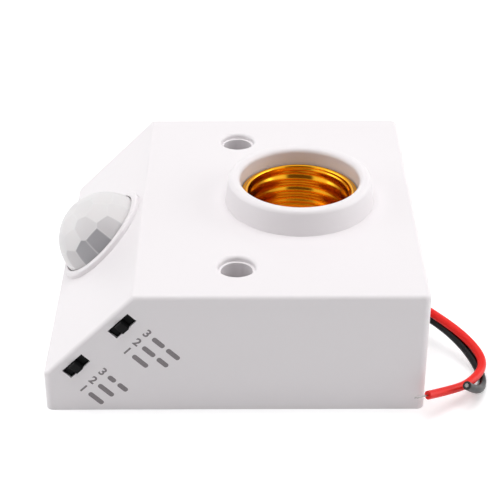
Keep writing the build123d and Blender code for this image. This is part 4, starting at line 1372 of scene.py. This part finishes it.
@dataclass(frozen=True)
class SoftBox:
    """One square studio lamp that points at the part."""

    name: str
    place: Point
    size: float
    watts: float
    aim: Point = (0.0, 0.0, 15.0)
    colour: Colour = (1.0, 1.0, 1.0)
    mirrored: bool = True

    def build(self) -> None:
        """Makes the lamp. One that isn't mirrored shows in no polished face."""
        data = bpy.data.lights.new(self.name, "AREA")
        data.shape = "SQUARE"
        data.size = self.size * MM
        data.energy = self.watts
        data.color = self.colour
        lamp = bpy.data.objects.new(self.name, data)
        lamp.location = Vector(self.place) * MM
        way = (Vector(self.aim) - Vector(self.place)).normalized()
        lamp.rotation_euler = way.to_track_quat("-Z", "Y").to_euler()
        lamp.visible_glossy = self.mirrored
        bpy.context.scene.collection.objects.link(lamp)


@dataclass
class Studio:
    """Pale floor, white surroundings and soft lamps."""

    floor_size: float = 4000.0
    floor_colour: Colour = (0.86, 0.86, 0.865)
    floor_roughness: float = 0.9
    floor_specular: float = 0.1
    floor_lift: float = 0.32
    world_colour: Colour = (0.985, 0.99, 1.0)
    world_strength: float = 0.224
    mirrored_strength: float = 1.25
    unlit_colour: Colour = (0.16, 0.10, 0.07)
    dark_sides: tuple[float, float] = (0.52, 0.40)
    dark_reach: tuple[float, float] = (-0.32, -0.46)
    lamps: list[SoftBox] = field(default_factory=lambda: [
        SoftBox("overhead softbox", (0.0, 0.0, 1000.0), 900.0, 7.5, mirrored=False),
        SoftBox("left softbox", (-900.0, 0.0, 350.0), 800.0, 3.45),
        SoftBox("right softbox", (900.0, 0.0, 350.0), 800.0, 4.5),
    ])

    def combined(self, tree: bpy.types.NodeTree, operation: str, first: bpy.types.NodeSocket,
                 second: bpy.types.NodeSocket) -> bpy.types.NodeSocket:
        """Joins two factors by a math operation.

        Args:
            tree: Node tree to build in.
            operation: Blender's name of the operation.
            first: First factor.
            second: Second factor.

        Returns:
            The joined factor.
        """
        joiner = tree.nodes.new("ShaderNodeMath")
        joiner.operation = operation
        tree.links.new(first, joiner.inputs[0])
        tree.links.new(second, joiner.inputs[1])
        return joiner.outputs[0]

    def seen_by_camera(self, tree: bpy.types.NodeTree) -> bpy.types.NodeSocket:
        """One where a camera, glossy or see-through ray looks, and nought for light.

        Args:
            tree: Node tree to build in.

        Returns:
            The factor.
        """
        path = tree.nodes.new("ShaderNodeLightPath")
        looked = self.combined(tree, "MAXIMUM", path.outputs["Is Camera Ray"], path.outputs["Is Glossy Ray"])
        return self.combined(tree, "MAXIMUM", looked, path.outputs["Is Transmission Ray"])

    def eased(self, tree: bpy.types.NodeTree, value: bpy.types.NodeSocket,
              start: float, end: float) -> bpy.types.NodeSocket:
        """Rises softly from nought at start to one at end.

        Args:
            tree: Node tree to build in.
            value: The value to ease.
            start: Value at which the factor is nought.
            end: Value at which the factor is one.

        Returns:
            The factor.
        """
        step = tree.nodes.new("ShaderNodeMapRange")
        step.interpolation_type = "SMOOTHSTEP"
        step.inputs["From Min"].default_value = start
        step.inputs["From Max"].default_value = end
        tree.links.new(value, step.inputs["Value"])
        return step.outputs["Result"]

    def dark_front(self, tree: bpy.types.NodeTree) -> bpy.types.NodeSocket:
        """One where the polished brass reflects the unlit front of the studio.

        Args:
            tree: Node tree to build in.

        Returns:
            The factor, by direction.
        """
        way = tree.nodes.new("ShaderNodeSeparateXYZ")
        tree.links.new(tree.nodes.new("ShaderNodeTexCoord").outputs["Generated"], way.inputs[0])
        aside = tree.nodes.new("ShaderNodeMath")
        aside.operation = "ABSOLUTE"
        tree.links.new(way.outputs["X"], aside.inputs[0])
        between = self.eased(tree, aside.outputs[0], *self.dark_sides)
        ahead = self.eased(tree, way.outputs["Y"], *self.dark_reach)
        return self.combined(tree, "MULTIPLY", between, ahead)

    def background(self, tree: bpy.types.NodeTree, colour: Colour,
                   strength: float = 1.0) -> bpy.types.NodeSocket:
        """Makes surroundings of one colour.

        Args:
            tree: Node tree to build in.
            colour: The colour.
            strength: Its brightness, where one is as written.

        Returns:
            The surroundings.
        """
        surroundings = tree.nodes.new("ShaderNodeBackground")
        surroundings.inputs["Color"].default_value = (*colour, 1.0)
        surroundings.inputs["Strength"].default_value = strength
        return surroundings.outputs[0]

    def either(self, tree: bpy.types.NodeTree, factor: bpy.types.NodeSocket, first: bpy.types.NodeSocket,
               second: bpy.types.NodeSocket) -> bpy.types.NodeSocket:
        """Chooses between two surroundings.

        Args:
            tree: Node tree to build in.
            factor: Nought for the first and one for the second.
            first: First surroundings.
            second: Second surroundings.

        Returns:
            The chosen surroundings.
        """
        mix = tree.nodes.new("ShaderNodeMixShader")
        tree.links.new(factor, mix.inputs["Fac"])
        tree.links.new(first, mix.inputs[1])
        tree.links.new(second, mix.inputs[2])
        return mix.outputs[0]

    def world(self) -> None:
        """White surroundings: full white to the eye, a plain level as light."""
        world = bpy.data.worlds.new("studio")
        world.use_nodes = True
        tree = world.node_tree
        tree.nodes.clear()
        white = (1.0, 1.0, 1.0)
        mirrored = self.background(tree, white, self.mirrored_strength)
        unlit = self.background(tree, self.unlit_colour)
        reflected = self.either(tree, self.dark_front(tree), mirrored, unlit)
        glossy = tree.nodes.new("ShaderNodeLightPath").outputs["Is Glossy Ray"]
        eye = self.either(tree, glossy, self.background(tree, white), reflected)
        lighting = self.background(tree, self.world_colour, self.world_strength)
        output = tree.nodes.new("ShaderNodeOutputWorld")
        tree.links.new(self.either(tree, self.seen_by_camera(tree), lighting, eye), output.inputs["Surface"])
        bpy.context.scene.world = world

    def floor(self) -> None:
        """Pale floor that keeps the part's shadow and reaches white to the eye."""
        bpy.ops.mesh.primitive_plane_add(size=self.floor_size * MM, location=(0, 0, 0))
        floor = bpy.context.object
        floor.name = "studio_floor"
        material = bpy.data.materials.new("pale floor")
        material.use_nodes = True
        tree = material.node_tree
        shader = tree.nodes["Principled BSDF"]
        shader.inputs["Roughness"].default_value = self.floor_roughness
        shader.inputs["Specular IOR Level"].default_value = self.floor_specular
        shader.inputs["Base Color"].default_value = (*self.floor_colour, 1.0)
        shader.inputs["Emission Color"].default_value = (1.0, 1.0, 1.0, 1.0)
        lift = tree.nodes.new("ShaderNodeMath")
        lift.operation = "MULTIPLY"
        lift.inputs[1].default_value = self.floor_lift
        tree.links.new(self.seen_by_camera(tree), lift.inputs[0])
        tree.links.new(lift.outputs[0], shader.inputs["Emission Strength"])
        floor.data.materials.append(material)

    def build(self) -> None:
        """Sets the whole studio."""
        self.world()
        self.floor()
        for lamp in self.lamps:
            lamp.build()
        bpy.context.scene.view_settings.view_transform = "Standard"


def main() -> None:
    """Builds the lamp holder's looks in order."""
    finishes = Finishes()
    PhotoCamera().build()
    RED_LEAD.build(finishes, finishes.red)
    BLACK_LEAD.build(finishes, finishes.black_wire)
    HousingMoulding().build(finishes)
    ThreadedSleeve().build(finishes)
    FacetedLens().build(finishes)
    LIGHT_SWITCH_MARKS.build(finishes)
    TIME_SWITCH_MARKS.build(finishes)
    dress_carried_parts(finishes)
    Studio().build()


if __name__ == "__main__":
    main()
